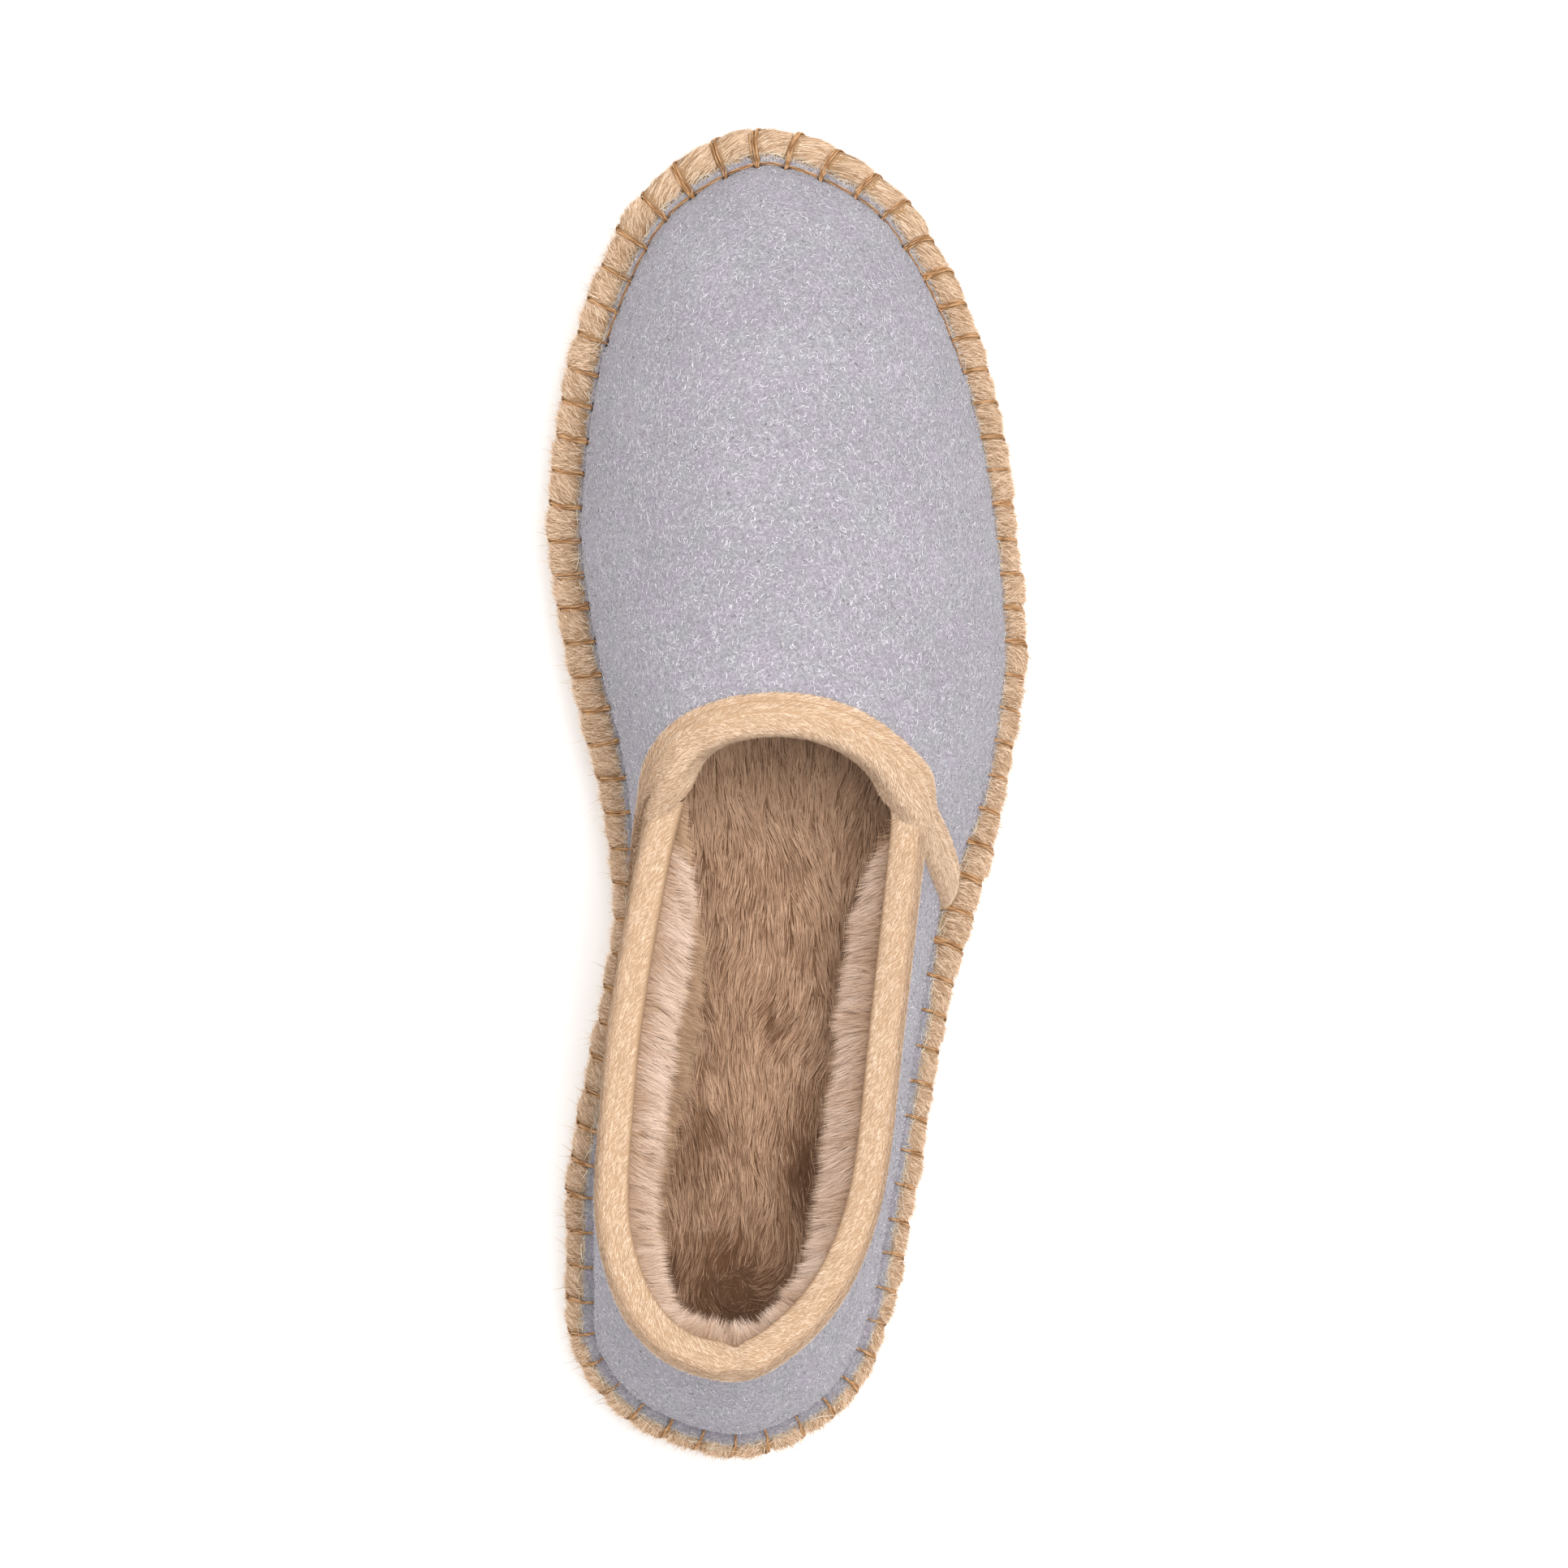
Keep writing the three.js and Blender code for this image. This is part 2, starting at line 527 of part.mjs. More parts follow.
// Section of tape folded over the topline. Its outer side reaches a given distance down the rib and
// lies over a lap of a given thickness.
function foldSection(u, reach, lap) {
  const top = facePoint(u, 1);
  const along = minus(facePoint(u + NORMAL_ROWS, 1), facePoint(u - NORMAL_ROWS, 1));
  const rise = unit(cross(along, faceNormal(u, 1)));
  const inside = LINING_OUT + LINING_EDGE + GAP;
  return [
    [reach, GAP + lap],
    [reach, GAP + lap + TAPE],
    [reach / 2, GAP + lap + TAPE + TAPE_PUFF],
    [TAPE_SHOULDER, GAP + lap + TAPE],
    [-TAPE_REACH, lap - GAP],
    [-TAPE_REACH, GAP - inside],
    [0, -inside - TAPE],
    [COLLAR_TAPE_INNER, -inside - TAPE],
    [COLLAR_TAPE_INNER, -inside],
    [-RIM_GAP, -inside],
    [-RIM_GAP, GAP + lap],
    [reach / 2, GAP + lap],
  ].map(([down, out]) =>
    down > 0 ? shell(u, vFromTop(u, down), out) : add(add(top, rise, -down), faceNormal(u, 1), out),
  );
}

// Section of the vamp's tape where it runs down the side, over the step of the lap
function strapSection(edge, v) {
  return [
    [-TAPE_REACH, GAP - VAMP_LAP],
    [-TAPE_REACH, GAP + TAPE / 2],
    [TAPE / 2, GAP + TAPE],
    [STRAP_WIDTH / 3, GAP + TAPE + TAPE_PUFF],
    [(STRAP_WIDTH * 2) / 3, GAP + TAPE + TAPE_PUFF],
    [STRAP_WIDTH, GAP + TAPE],
    [STRAP_WIDTH, GAP],
    [(STRAP_WIDTH * 2) / 3, GAP],
    [STRAP_WIDTH / 3, GAP],
    [-GAP, GAP],
    [-GAP, GAP - VAMP_LAP],
  ].map(([across, out]) => {
    const u = acrossEdge(edge, v, across);
    return shell(u, v, out + lapAt(u));
  });
}

// Tape over the vamp's rear edge: round the throat and down both sides to the sole
function makeVampBinding() {
  const [from, to] = [VAMP_START, VAMP_END].map((edge) => acrossEdge(edge, 1, -TAPE_REACH));
  const throat = PLACES.filter((u, i) => isVamp(u) && (vampDepth(u) < CORNER_ROWS || i % 2 === 0));
  const places = [from, VAMP_START + STEP_WIDTH, ...throat, VAMP_END - STEP_WIDTH, to];
  const fold = solid(endedLoft(places.map((u) => foldSection(u, VAMP_TAPE_WIDTH, lapAt(u) + FOLD_SLACK))));
  const straps = [VAMP_START, VAMP_END].map((edge) =>
    solid(
      endedLoft(
        steps(TAPE_FOOT, vFromTop(edge, VAMP_TAPE_WIDTH / 2), STRAP_SECTIONS).map((v) => strapSection(edge, v)),
      ),
    ),
  );
  return straps.reduce((made, strap) => made.add(strap), fold);
}

// Tape over the topline of the quarter, from one end of the vamp's edge to the other
function makeCollarBinding() {
  const slack = -TAPE_REACH - 2 * GAP;
  const [from, to] = [VAMP_END, VAMP_START].map((edge) => acrossEdge(edge, 1, slack));
  const quarter = [...PLACES.filter((u) => u > from), ...PLACES.filter((u) => u < to)];
  return solid(endedLoft([from, ...quarter, to].map((u) => foldSection(u, COLLAR_TAPE_OUTER, 0))));
}

// Materials
const suede = new THREE.MeshStandardMaterial({ color: 0xb4b5bd, roughness: 0.95, metalness: 0 });
const jute = new THREE.MeshStandardMaterial({ color: 0xd8b98e, roughness: 0.95, metalness: 0 });
const rubber = new THREE.MeshStandardMaterial({ color: 0xb59873, roughness: 0.8, metalness: 0 });
const liningFur = new THREE.MeshStandardMaterial({ color: 0xd9bfa4, roughness: 1, metalness: 0 });
const footbedFur = new THREE.MeshStandardMaterial({ color: 0xb08f6e, roughness: 1, metalness: 0 });
const tape = new THREE.MeshStandardMaterial({ color: 0xe6cba2, roughness: 0.95, metalness: 0 });

const slipper = new THREE.Group();
slipper.add(
  meshOf("rubber_outsole", makeRubberOutsole(), rubber),
  meshOf("jute_sole", makeJuteSole(), jute),
  meshOf("upper", makeUpper(), suede),
  meshOf("fur_lining", makeFurLining(), liningFur),
  meshOf("fur_insole", makeFootbed(), footbedFur),
  meshOf("vamp_binding", makeVampBinding(), tape),
  meshOf("collar_binding", makeCollarBinding(), tape),
);

export default slipper;
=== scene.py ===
"""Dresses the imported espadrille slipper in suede, jute, blanket stitches, plush tape and fur."""

import math

import bpy
import numpy as np
from bpy.props import FloatProperty, FloatVectorProperty, IntProperty, PointerProperty
from mathutils import Matrix, Vector


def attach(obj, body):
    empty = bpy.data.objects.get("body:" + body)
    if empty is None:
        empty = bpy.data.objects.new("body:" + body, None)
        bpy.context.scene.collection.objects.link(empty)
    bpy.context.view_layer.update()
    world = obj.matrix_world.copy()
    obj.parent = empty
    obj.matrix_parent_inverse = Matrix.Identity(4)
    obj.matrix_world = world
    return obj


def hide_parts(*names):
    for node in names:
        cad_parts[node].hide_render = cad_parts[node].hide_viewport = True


bl_info = {
    "name": "Espadrille slipper",
    "version": (1, 0, 0),
    "blender": (4, 5, 0),
    "location": "3D View > Sidebar > Slipper",
    "description": "Builds the looks of a fur-lined espadrille slipper around its packed solids",
    "category": "Add Mesh",
}

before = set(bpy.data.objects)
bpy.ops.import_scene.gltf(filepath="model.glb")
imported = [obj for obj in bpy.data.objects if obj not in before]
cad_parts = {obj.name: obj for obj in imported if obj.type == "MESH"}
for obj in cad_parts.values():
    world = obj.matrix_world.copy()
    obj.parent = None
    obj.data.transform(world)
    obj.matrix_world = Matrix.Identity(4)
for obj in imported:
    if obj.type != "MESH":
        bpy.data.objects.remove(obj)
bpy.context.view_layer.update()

MM = 0.001

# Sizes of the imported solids, in millimetres
SOLE_LENGTH = 280.0
BALL_WIDTH = 100.0
INSTEP_HEIGHT = 52.0  # sole top to the middle of the throat
HEEL_HEIGHT = 46.0  # sole top to the topline at the back of the heel
RUBBER_THICKNESS = 3.5
JUTE_HEIGHT = 16.5
SOLE_TOP = RUBBER_THICKNESS + JUTE_HEIGHT
TOE_SPRING = 4.0  # lift of the sole under the tip of the toe
TOE_SPRING_START = 0.7  # share of the length where the sole begins to lift
AXIS_ACROSS = -0.06  # the long axis, as a share of the ball width
LEDGE = 6.0  # sole edge to the seam at the foot of the upper
FLANGE = 2.4  # the upper's foot, turned out beyond the seam
UPPER_WALL = 2.0
VAMP_LAP = 1.0  # step where the vamp laps over the quarter
BULGE = 4.0  # outward swell that the ribs' bulge shares follow
GAP = 0.3  # clearance between two pieces
LINING_OUT = UPPER_WALL + GAP
FOOTBED_THICKNESS = 6.0
FOOTBED_TOP = GAP + FOOTBED_THICKNESS

# One row for each rib of the last, from the heel back along the inner side, round the toe and back.
# along, topAlong: shares of the length. across, topAcross: shares of the ball width. ledge, flange,
# bulge: shares of their sizes. ofHeel, ofInstep: height of the topline as shares of the two heights.
# rise, drop, reach: how the rib leaves the foot and meets the topline.
COLUMNS = (
    "along", "across", "ledge", "flange", "topAlong", "topAcross",
    "ofHeel", "ofInstep", "bulge", "rise", "drop", "reach",
)
RIBS = np.array([
    [0.0, -0.113, 0.92, 1.0, 0.0845, -0.121, 1.0, 0.0, 0.3, 0.4, 0.36, 0.3],
    [0.03, -0.345, 0.92, 1.0, 0.093, -0.235, 0.985, 0.0, 0.3, 0.4, 0.36, 0.3],
    [0.1, -0.465, 0.95, 1.0, 0.1336, -0.348, 0.94, 0.0, 0.35, 0.4, 0.36, 0.3],
    [0.19, -0.466, 1.0, 0.9, 0.205, -0.396, 0.88, 0.0, 0.4, 0.4, 0.36, 0.3],
    [0.3, -0.415, 1.0, 0.9, 0.31, -0.377, 0.7, 0.12, 0.4, 0.4, 0.34, 0.3],
    [0.415, -0.366, 1.0, 0.8, 0.484, -0.293, 0.41, 0.36, 0.4, 0.42, 0.3, 0.26],
    [0.51, -0.4, 1.05, 0.4, 0.505, -0.27, 0.23, 0.62, 0.35, 0.45, 0.16, 0.42],
    [0.61, -0.472, 1.1, 0.2, 0.52, -0.23, 0.09, 0.815, 0.3, 0.46, 0.13, 0.42],
    [0.7, -0.503, 1.1, 0.2, 0.531, -0.182, 0.0, 0.938, 0.3, 0.46, 0.09, 0.44],
    [0.8, -0.477, 1.12, 0.2, 0.5365, -0.136, 0.0, 0.968, 0.3, 0.45, 0.07, 0.46],
    [0.89, -0.404, 1.2, 0.5, 0.5395, -0.096, 0.0, 0.987, 0.25, 0.44, 0.06, 0.49],
    [0.96, -0.285, 1.3, 0.9, 0.5405, -0.06, 0.0, 0.997, 0.2, 0.44, 0.06, 0.5],
    [1.0, -0.05, 1.35, 1.0, 0.5405, -0.025, 0.0, 1.0, 0.2, 0.44, 0.06, 0.5],
    [0.965, 0.198, 1.25, 0.9, 0.5393, 0.01, 0.0, 0.997, 0.25, 0.44, 0.06, 0.5],
    [0.9, 0.334, 1.1, 0.5, 0.5357, 0.048, 0.0, 0.987, 0.35, 0.44, 0.06, 0.49],
    [0.8, 0.437, 0.95, 0.2, 0.5295, 0.092, 0.0, 0.965, 0.45, 0.45, 0.07, 0.46],
    [0.7, 0.484, 0.88, 0.2, 0.5195, 0.136, 0.0, 0.93, 0.55, 0.46, 0.09, 0.44],
    [0.61, 0.503, 0.88, 0.2, 0.508, 0.178, 0.09, 0.805, 0.55, 0.46, 0.12, 0.42],
    [0.52, 0.468, 0.88, 0.4, 0.4965, 0.211, 0.23, 0.61, 0.5, 0.45, 0.16, 0.4],
    [0.412, 0.396, 1.4, 0.4, 0.479, 0.243, 0.41, 0.36, 0.45, 0.42, 0.28, 0.28],
    [0.32, 0.325, 1.0, 0.9, 0.333, 0.2, 0.7, 0.12, 0.4, 0.4, 0.34, 0.3],
    [0.2, 0.268, 0.95, 0.9, 0.215, 0.16, 0.88, 0.0, 0.4, 0.4, 0.36, 0.3],
    [0.1, 0.213, 0.92, 1.0, 0.15, 0.093, 0.94, 0.0, 0.35, 0.4, 0.36, 0.3],
    [0.035, 0.113, 0.92, 1.0, 0.108, -0.005, 0.985, 0.0, 0.3, 0.4, 0.36, 0.3],
])
ROWS = len(RIBS)

# Places round the last, counted in ribs
VAMP_START = 5.0  # the vamp's rear edge on the inner side
VAMP_END = 19.0  # and on the outer side
LAP_FADE = 1.6  # ribs over which the vamp's lap fades into the quarter's face
STEP_WIDTH = 0.03  # ribs over which the step at its rear edge rises
TOE_START = 0.84  # share of the length from which the toe is sewn and combed in its own way
THROAT_TRIM = 2.2  # how far suede and tape stop short of the ribs, in the middle of the throat


def smooth(t):
    """An even ease from 0 to 1, flat at both ends."""
    t = np.clip(t, 0, 1)
    return t * t * (3 - 2 * t)


def unit(p):
    """Vectors at length 1."""
    return p / np.maximum(np.linalg.norm(p, axis=-1, keepdims=True), 1e-9)


def column(name, u):
    """A column of the rib table at any place round the last, on a curve that never overshoots."""
    k = COLUMNS.index(name)
    u = np.asarray(u, float) % ROWS
    i = np.floor(u).astype(int)
    f = u - i
    a, b, c, d = (RIBS[(i + j) % ROWS, k] for j in (-1, 0, 1, 2))

    def slope(p, q):
        """The slope at a rib from the steps before and after it: none where the table turns."""
        total = np.where(np.abs(p + q) < 1e-12, 1.0, p + q)
        return np.where(p * q > 0, 2 * p * q / total, 0.0)

    leave, arrive = slope(b - a, c - b), slope(c - b, d - c)
    cubic = leave + arrive - 2 * (c - b)
    return b + f * (leave + f * (3 * (c - b) - 2 * leave - arrive + f * cubic))


def stack(x, y, z):
    """Points from their coordinates, single numbers or arrays."""
    return np.stack(np.broadcast_arrays(x, y, z), axis=-1).astype(float)


def edge_point(u):
    """The sole's widest edge at a place round the last, on the floor."""
    return stack(column("across", u) * BALL_WIDTH, (column("along", u) - 0.5) * SOLE_LENGTH, 0.0)


def edge_outward(u):
    """Level direction out of the sole's edge."""
    tangent = unit(edge_point(np.asarray(u) + 0.02) - edge_point(np.asarray(u) - 0.02))
    return stack(-tangent[..., 1], tangent[..., 0], 0.0)


def spring_at(y):
    """How far the toe spring lifts the sole at a place along the foot."""
    share = np.clip((y / SOLE_LENGTH + 0.5 - TOE_SPRING_START) / (1 - TOE_SPRING_START), 0, 1)
    return TOE_SPRING * share**2


def face_point(u, v):
    """A point of the last's outer face, from the seam on the sole, v = 0, to the topline, v = 1."""
    u, v = np.broadcast_arrays(np.asarray(u, float), np.asarray(v, float))
    outward = edge_outward(u)
    foot = edge_point(u) - outward * (column("ledge", u) * LEDGE)[..., None]
    foot[..., 2] = SOLE_TOP + spring_at(foot[..., 1]) + GAP
    height = column("ofHeel", u) * HEEL_HEIGHT + column("ofInstep", u) * INSTEP_HEIGHT
    top = stack(
        column("topAcross", u) * BALL_WIDTH, (column("topAlong", u) - 0.5) * SOLE_LENGTH,
        SOLE_TOP + height)
    low = foot + outward * (column("bulge", u) * BULGE)[..., None]
    low[..., 2] += column("rise", u) * height
    reach = column("reach", u)[..., None]
    high = top + (foot - top) * reach
    high[..., 2] = top[..., 2] - column("drop", u) * height
    v = v[..., None]
    w = 1 - v
    return w**3 * foot + 3 * w * w * v * low + 3 * w * v * v * high + v**3 * top


def face_normal(u, v):
    """Direction out of the last's face."""
    along = face_point(u + 0.2, v) - face_point(u - 0.2, v)
    up = face_point(u, np.minimum(1, v + 0.02)) - face_point(u, np.maximum(0, v - 0.02))
    return unit(np.cross(up, along))


def shell(u, v, out):
    """Points a given distance out of the last's face, or inside it if negative."""
    u, v = np.broadcast_arrays(np.asarray(u, float), np.asarray(v, float))
    return face_point(u, v) + face_normal(u, v) * np.asarray(out, float)[..., None]


def v_from_top(u, distance):
    """v of the place a given distance down each rib from its top."""
    u = np.atleast_1d(np.asarray(u, float))
    levels = np.linspace(1, 0, 81)
    points = face_point(u[:, None], levels[None, :])
    steps = np.linalg.norm(np.diff(points, axis=1), axis=-1)
    run = np.concatenate([np.zeros((len(u), 1)), np.cumsum(steps, axis=1)], axis=1)
    wanted = np.broadcast_to(np.asarray(distance, float), u.shape)
    return np.array([np.interp(wanted[k], run[k], levels) for k in range(len(u))])


def vamp_depth(u):
    """Ribs from the nearer rear edge of the vamp, negative in the quarter."""
    u = np.asarray(u, float) % ROWS
    return np.minimum(u - VAMP_START, VAMP_END - u)


def lap_at(u):
    """How far the vamp stands out over the quarter's face."""
    depth = vamp_depth(u)
    return np.where(depth > 0, VAMP_LAP * (1 - smooth((depth - STEP_WIDTH) / LAP_FADE)), 0.0)


def trim_at(u):
    """How far the suede and its tape stop short of a rib's top."""
    return THROAT_TRIM * smooth((vamp_depth(u) - 0.6) / 2.0)


def even_places(start, end, spacing, point_at):
    """Places from start to end, evenly spaced in millimetres along a curve."""
    fine = np.linspace(start, end, 4000)
    run = np.concatenate([[0], np.cumsum(np.linalg.norm(np.diff(point_at(fine), axis=0), axis=1))])
    count = max(2, int(round(run[-1] / spacing)) + 1)
    return np.interp(np.linspace(0, run[-1], count), run, fine)


def ripple(points, size, seed, octaves=3):
    """Smooth noise of about -1 to 1 at points in millimetres, with waves of about a given size."""
    rng = np.random.default_rng(seed)
    total = np.zeros(points.shape[:-1])
    weight = 0.0
    for octave in range(octaves):
        for _ in range(5):
            way = rng.normal(size=3)
            way *= (2 * math.pi / size) * 2**octave / np.linalg.norm(way)
            total += 0.6**octave * np.sin(points @ way + rng.uniform(0, 2 * math.pi))
        weight += 0.6**octave
    return total / (weight * 2.4)


# Meshes from arrays, in millimetres


def mesh_object(name, points, faces, smooth_faces=True):
    """One object from points and a list of face arrays, each of faces with as many corners."""
    mesh = bpy.data.meshes.new(name)
    mesh.vertices.add(len(points))
    mesh.vertices.foreach_set("co", (np.asarray(points) * MM).astype(np.float32).ravel())
    corners = np.concatenate([f.ravel() for f in faces])
    counts = np.concatenate([np.full(len(f), f.shape[1]) for f in faces])
    starts = np.concatenate([[0], np.cumsum(counts)[:-1]])
    mesh.loops.add(len(corners))
    mesh.loops.foreach_set("vertex_index", corners.astype(np.int32))
    mesh.polygons.add(len(counts))
    mesh.polygons.foreach_set("loop_start", starts.astype(np.int32))
    mesh.polygons.foreach_set("use_smooth", np.full(len(counts), smooth_faces))
    mesh.update(calc_edges=True)
    mesh.validate()
    made = bpy.data.objects.new(name, mesh)
    bpy.context.scene.collection.objects.link(made)
    return made


def grid_faces(rows, cols, wrap_rows=False, wrap_cols=False, turned=False):
    """Quads between the rows and columns of a grid, seen from its other side if turned."""
    i = np.arange(rows if wrap_rows else rows - 1)
    j = np.arange(cols if wrap_cols else cols - 1)
    i, j = np.meshgrid(i, j, indexing="ij")
    i, j = i.ravel(), j.ravel()
    i2, j2 = (i + 1) % rows, (j + 1) % cols
    faces = np.stack([i * cols + j, i2 * cols + j, i2 * cols + j2, i * cols + j2], axis=1)
    return faces[:, ::-1] if turned else faces


def set_attribute(made, name, values):
    """A vector attribute for the materials, on the points."""
    layer = made.data.attributes.new(name, "FLOAT_VECTOR", "POINT")
    layer.data.foreach_set("vector", np.asarray(values, np.float32).ravel())


def grid_normals(grid, wrap_rows=False):
    """Outward or inward normals of a grid of points, by the order of its rows and columns."""
    if wrap_rows:
        along = np.roll(grid, -1, axis=0) - np.roll(grid, 1, axis=0)
    else:
        along = np.gradient(grid, axis=0)
    return unit(np.cross(along, np.gradient(grid, axis=1)))


def sample(grid, i, j, wrap_rows=False):
    """Points of a grid at places between its rows and columns."""
    rows, cols = grid.shape[:2]
    if wrap_rows:
        i0 = np.floor(i).astype(int)
        f = (i - i0)[..., None]
        i0, i1 = i0 % rows, (i0 + 1) % rows
    else:
        i = np.clip(i, 0, rows - 1.001)
        i0 = np.floor(i).astype(int)
        f = (i - i0)[..., None]
        i1 = i0 + 1
    j = np.clip(j, 0, cols - 1.001)
    j0 = np.floor(j).astype(int)
    g = (j - j0)[..., None]
    top = grid[i0, j0] * (1 - g) + grid[i0, j0 + 1] * g
    low = grid[i1, j0] * (1 - g) + grid[i1, j0 + 1] * g
    return top * (1 - f) + low * f


STRAND_TURN = 0.7  # how far the flat strands' shading turns to either side, as round ones would


def strand_object(name, lines, facing, width, tone, taper=1.5):
    """Flat tapered strands as one mesh. lines: strands, points along each, coordinates. facing: the
    direction each one's flat side looks. tone: two random numbers of each for its material."""
    count, knots = lines.shape[:2]
    tangent = np.gradient(lines, axis=1)
    side = unit(np.cross(tangent, facing[:, None, :]))
    t = np.linspace(0, 1, knots)
    half = 0.5 * width[:, None] * (1 - t[None, :] ** taper)
    left = lines[:, :-1] + side[:, :-1] * half[:, :-1, None]
    right = lines[:, :-1] - side[:, :-1] * half[:, :-1, None]
    pairs = np.stack([left, right], axis=2).reshape(count, -1, 3)
    points = np.concatenate([pairs, lines[:, -1:]], axis=1)
    each = 2 * (knots - 1) + 1
    base = np.arange(count)[:, None] * each
    quads = [base + np.array([[2 * k, 2 * k + 2, 2 * k + 3, 2 * k + 1]]) for k in range(knots - 2)]
    last = base + np.array([[each - 3, each - 1, each - 2]])
    faces = ([np.concatenate(quads)] if quads else []) + [last]
    made = mesh_object(name, points.reshape(-1, 3), faces)
    level = np.concatenate([np.repeat(t[:-1], 2), [1.0]])
    values = np.empty((count, each, 3))
    values[..., 0] = level
    values[..., 1] = tone[:, 0][:, None]
    values[..., 2] = tone[:, 1][:, None]
    set_attribute(made, "strand", values.reshape(-1, 3))
    normals = np.repeat(unit(facing)[:, None, :], each, axis=1)
    lean = np.concatenate([np.repeat(side[:, :-1], 2, axis=1), side[:, -1:]], axis=1)
    turn = (tone[:, 1] - 0.5)[:, None, None] * STRAND_TURN
    shown = unit(normals + lean * turn).reshape(-1, 3)
    made.data.normals_split_custom_set_from_vertices(shown.astype(np.float32))
    return made


# Materials

# Each is named for the real material and how its surface was made, as far as a photograph lets one
# guess. Its comment says what that gives the eye. Patterns are given by their real size in millimetres.


def linear(hexa):
    """An sRGB colour such as 'b4b6be' as linear red, green, blue and alpha."""
    parts = [int(hexa[k : k + 2], 16) / 255 for k in (0, 2, 4)]
    return tuple(c / 12.92 if c <= 0.04045 else ((c + 0.055) / 1.055) ** 2.4 for c in parts) + (1.0,)


def add_node(tree, kind, settings=None, inputs=None, ramp=None):
    """A node with its settings, its inputs' values or links, and a ramp's stops."""
    made = tree.nodes.new(kind)
    for key, value in (settings or {}).items():
        setattr(made, key, value)
    for key, value in (inputs or {}).items():
        if isinstance(value, bpy.types.NodeSocket):
            tree.links.new(value, made.inputs[key])
        else:
            made.inputs[key].default_value = value
    for k, (place, colour) in enumerate(ramp or ()):
        stops = made.color_ramp.elements
        stop = stops[k] if k < 2 else stops.new(place)
        stop.position = place
        stop.color = colour
    return made


def new_material(name):
    """An empty material and its node tree."""
    material = bpy.data.materials.new(name)
    material.use_nodes = True
    material.node_tree.nodes.clear()
    return material, material.node_tree


def finish_material(tree, inputs):
    """The surface shader with its inputs, joined to the output."""
    surface = add_node(tree, "ShaderNodeBsdfPrincipled", inputs=inputs)
    add_node(tree, "ShaderNodeOutputMaterial", inputs={"Surface": surface.outputs[0]})


def curls(tree, place, size, spread, shift):
    """Short curved lines of a given size: level lines of a noise, broken up by a second noise."""
    moved = add_node(tree, "ShaderNodeVectorMath", {"operation": "ADD"}, {
        0: place, 1: (shift, -shift, shift)})
    field = add_node(tree, "ShaderNodeTexNoise", inputs={
        "Vector": moved.outputs[0], "Scale": 1 / (size * MM), "Detail": 1.0, "Distortion": 0.8})
    offset = add_node(tree, "ShaderNodeMath", {"operation": "SUBTRACT"}, {
        0: field.outputs["Fac"], 1: 0.5})
    away = add_node(tree, "ShaderNodeMath", {"operation": "ABSOLUTE"}, {0: offset.outputs[0]})
    line = add_node(tree, "ShaderNodeMapRange", inputs={
        "Value": away.outputs[0], "From Min": spread, "From Max": 0.2 * spread,
        "To Min": 0.0, "To Max": 1.0})
    breaks = add_node(tree, "ShaderNodeTexNoise", inputs={
        "Vector": moved.outputs[0], "Scale": 1.3 / (size * MM), "Detail": 0.0})
    mask = add_node(tree, "ShaderNodeMapRange", inputs={
        "Value": breaks.outputs["Fac"], "From Min": 0.42, "From Max": 0.6,
        "To Min": 0.0, "To Max": 1.0})
    return add_node(tree, "ShaderNodeMath", {"operation": "MULTIPLY"}, {
        0: line.outputs[0], 1: mask.outputs[0]}).outputs[0]


# Suede's specks, the ground between the curls and the curls themselves, pale partly by painted
# highlight
SUEDE_SPECK = "5f5a56"
SUEDE_DARK = "747177"
SUEDE_LIGHT = "c0bcc2"
# The painted curls of the nap: size, spread and shift of each layer. Real ones are about half as
# wide, and these are drawn as coarse as they need to show.
CURL_LAYERS = ((1.3, 0.045, 0.0), (1.0, 0.04, 0.13), (1.6, 0.035, 0.29), (0.8, 0.05, 0.41))
CURL_MIX = 0.32  # how much a painted curl lightens the ground: the nap's paler colour, partly painted highlight
GRAIN_SIZE = 0.5  # of the ground between the curls
TINT_SIZE = 5  # of patches that are a little greener or more violet
PATCH_SIZE = 20  # of paler and darker patches, as hides have
SPECK_SIZE = 1.4


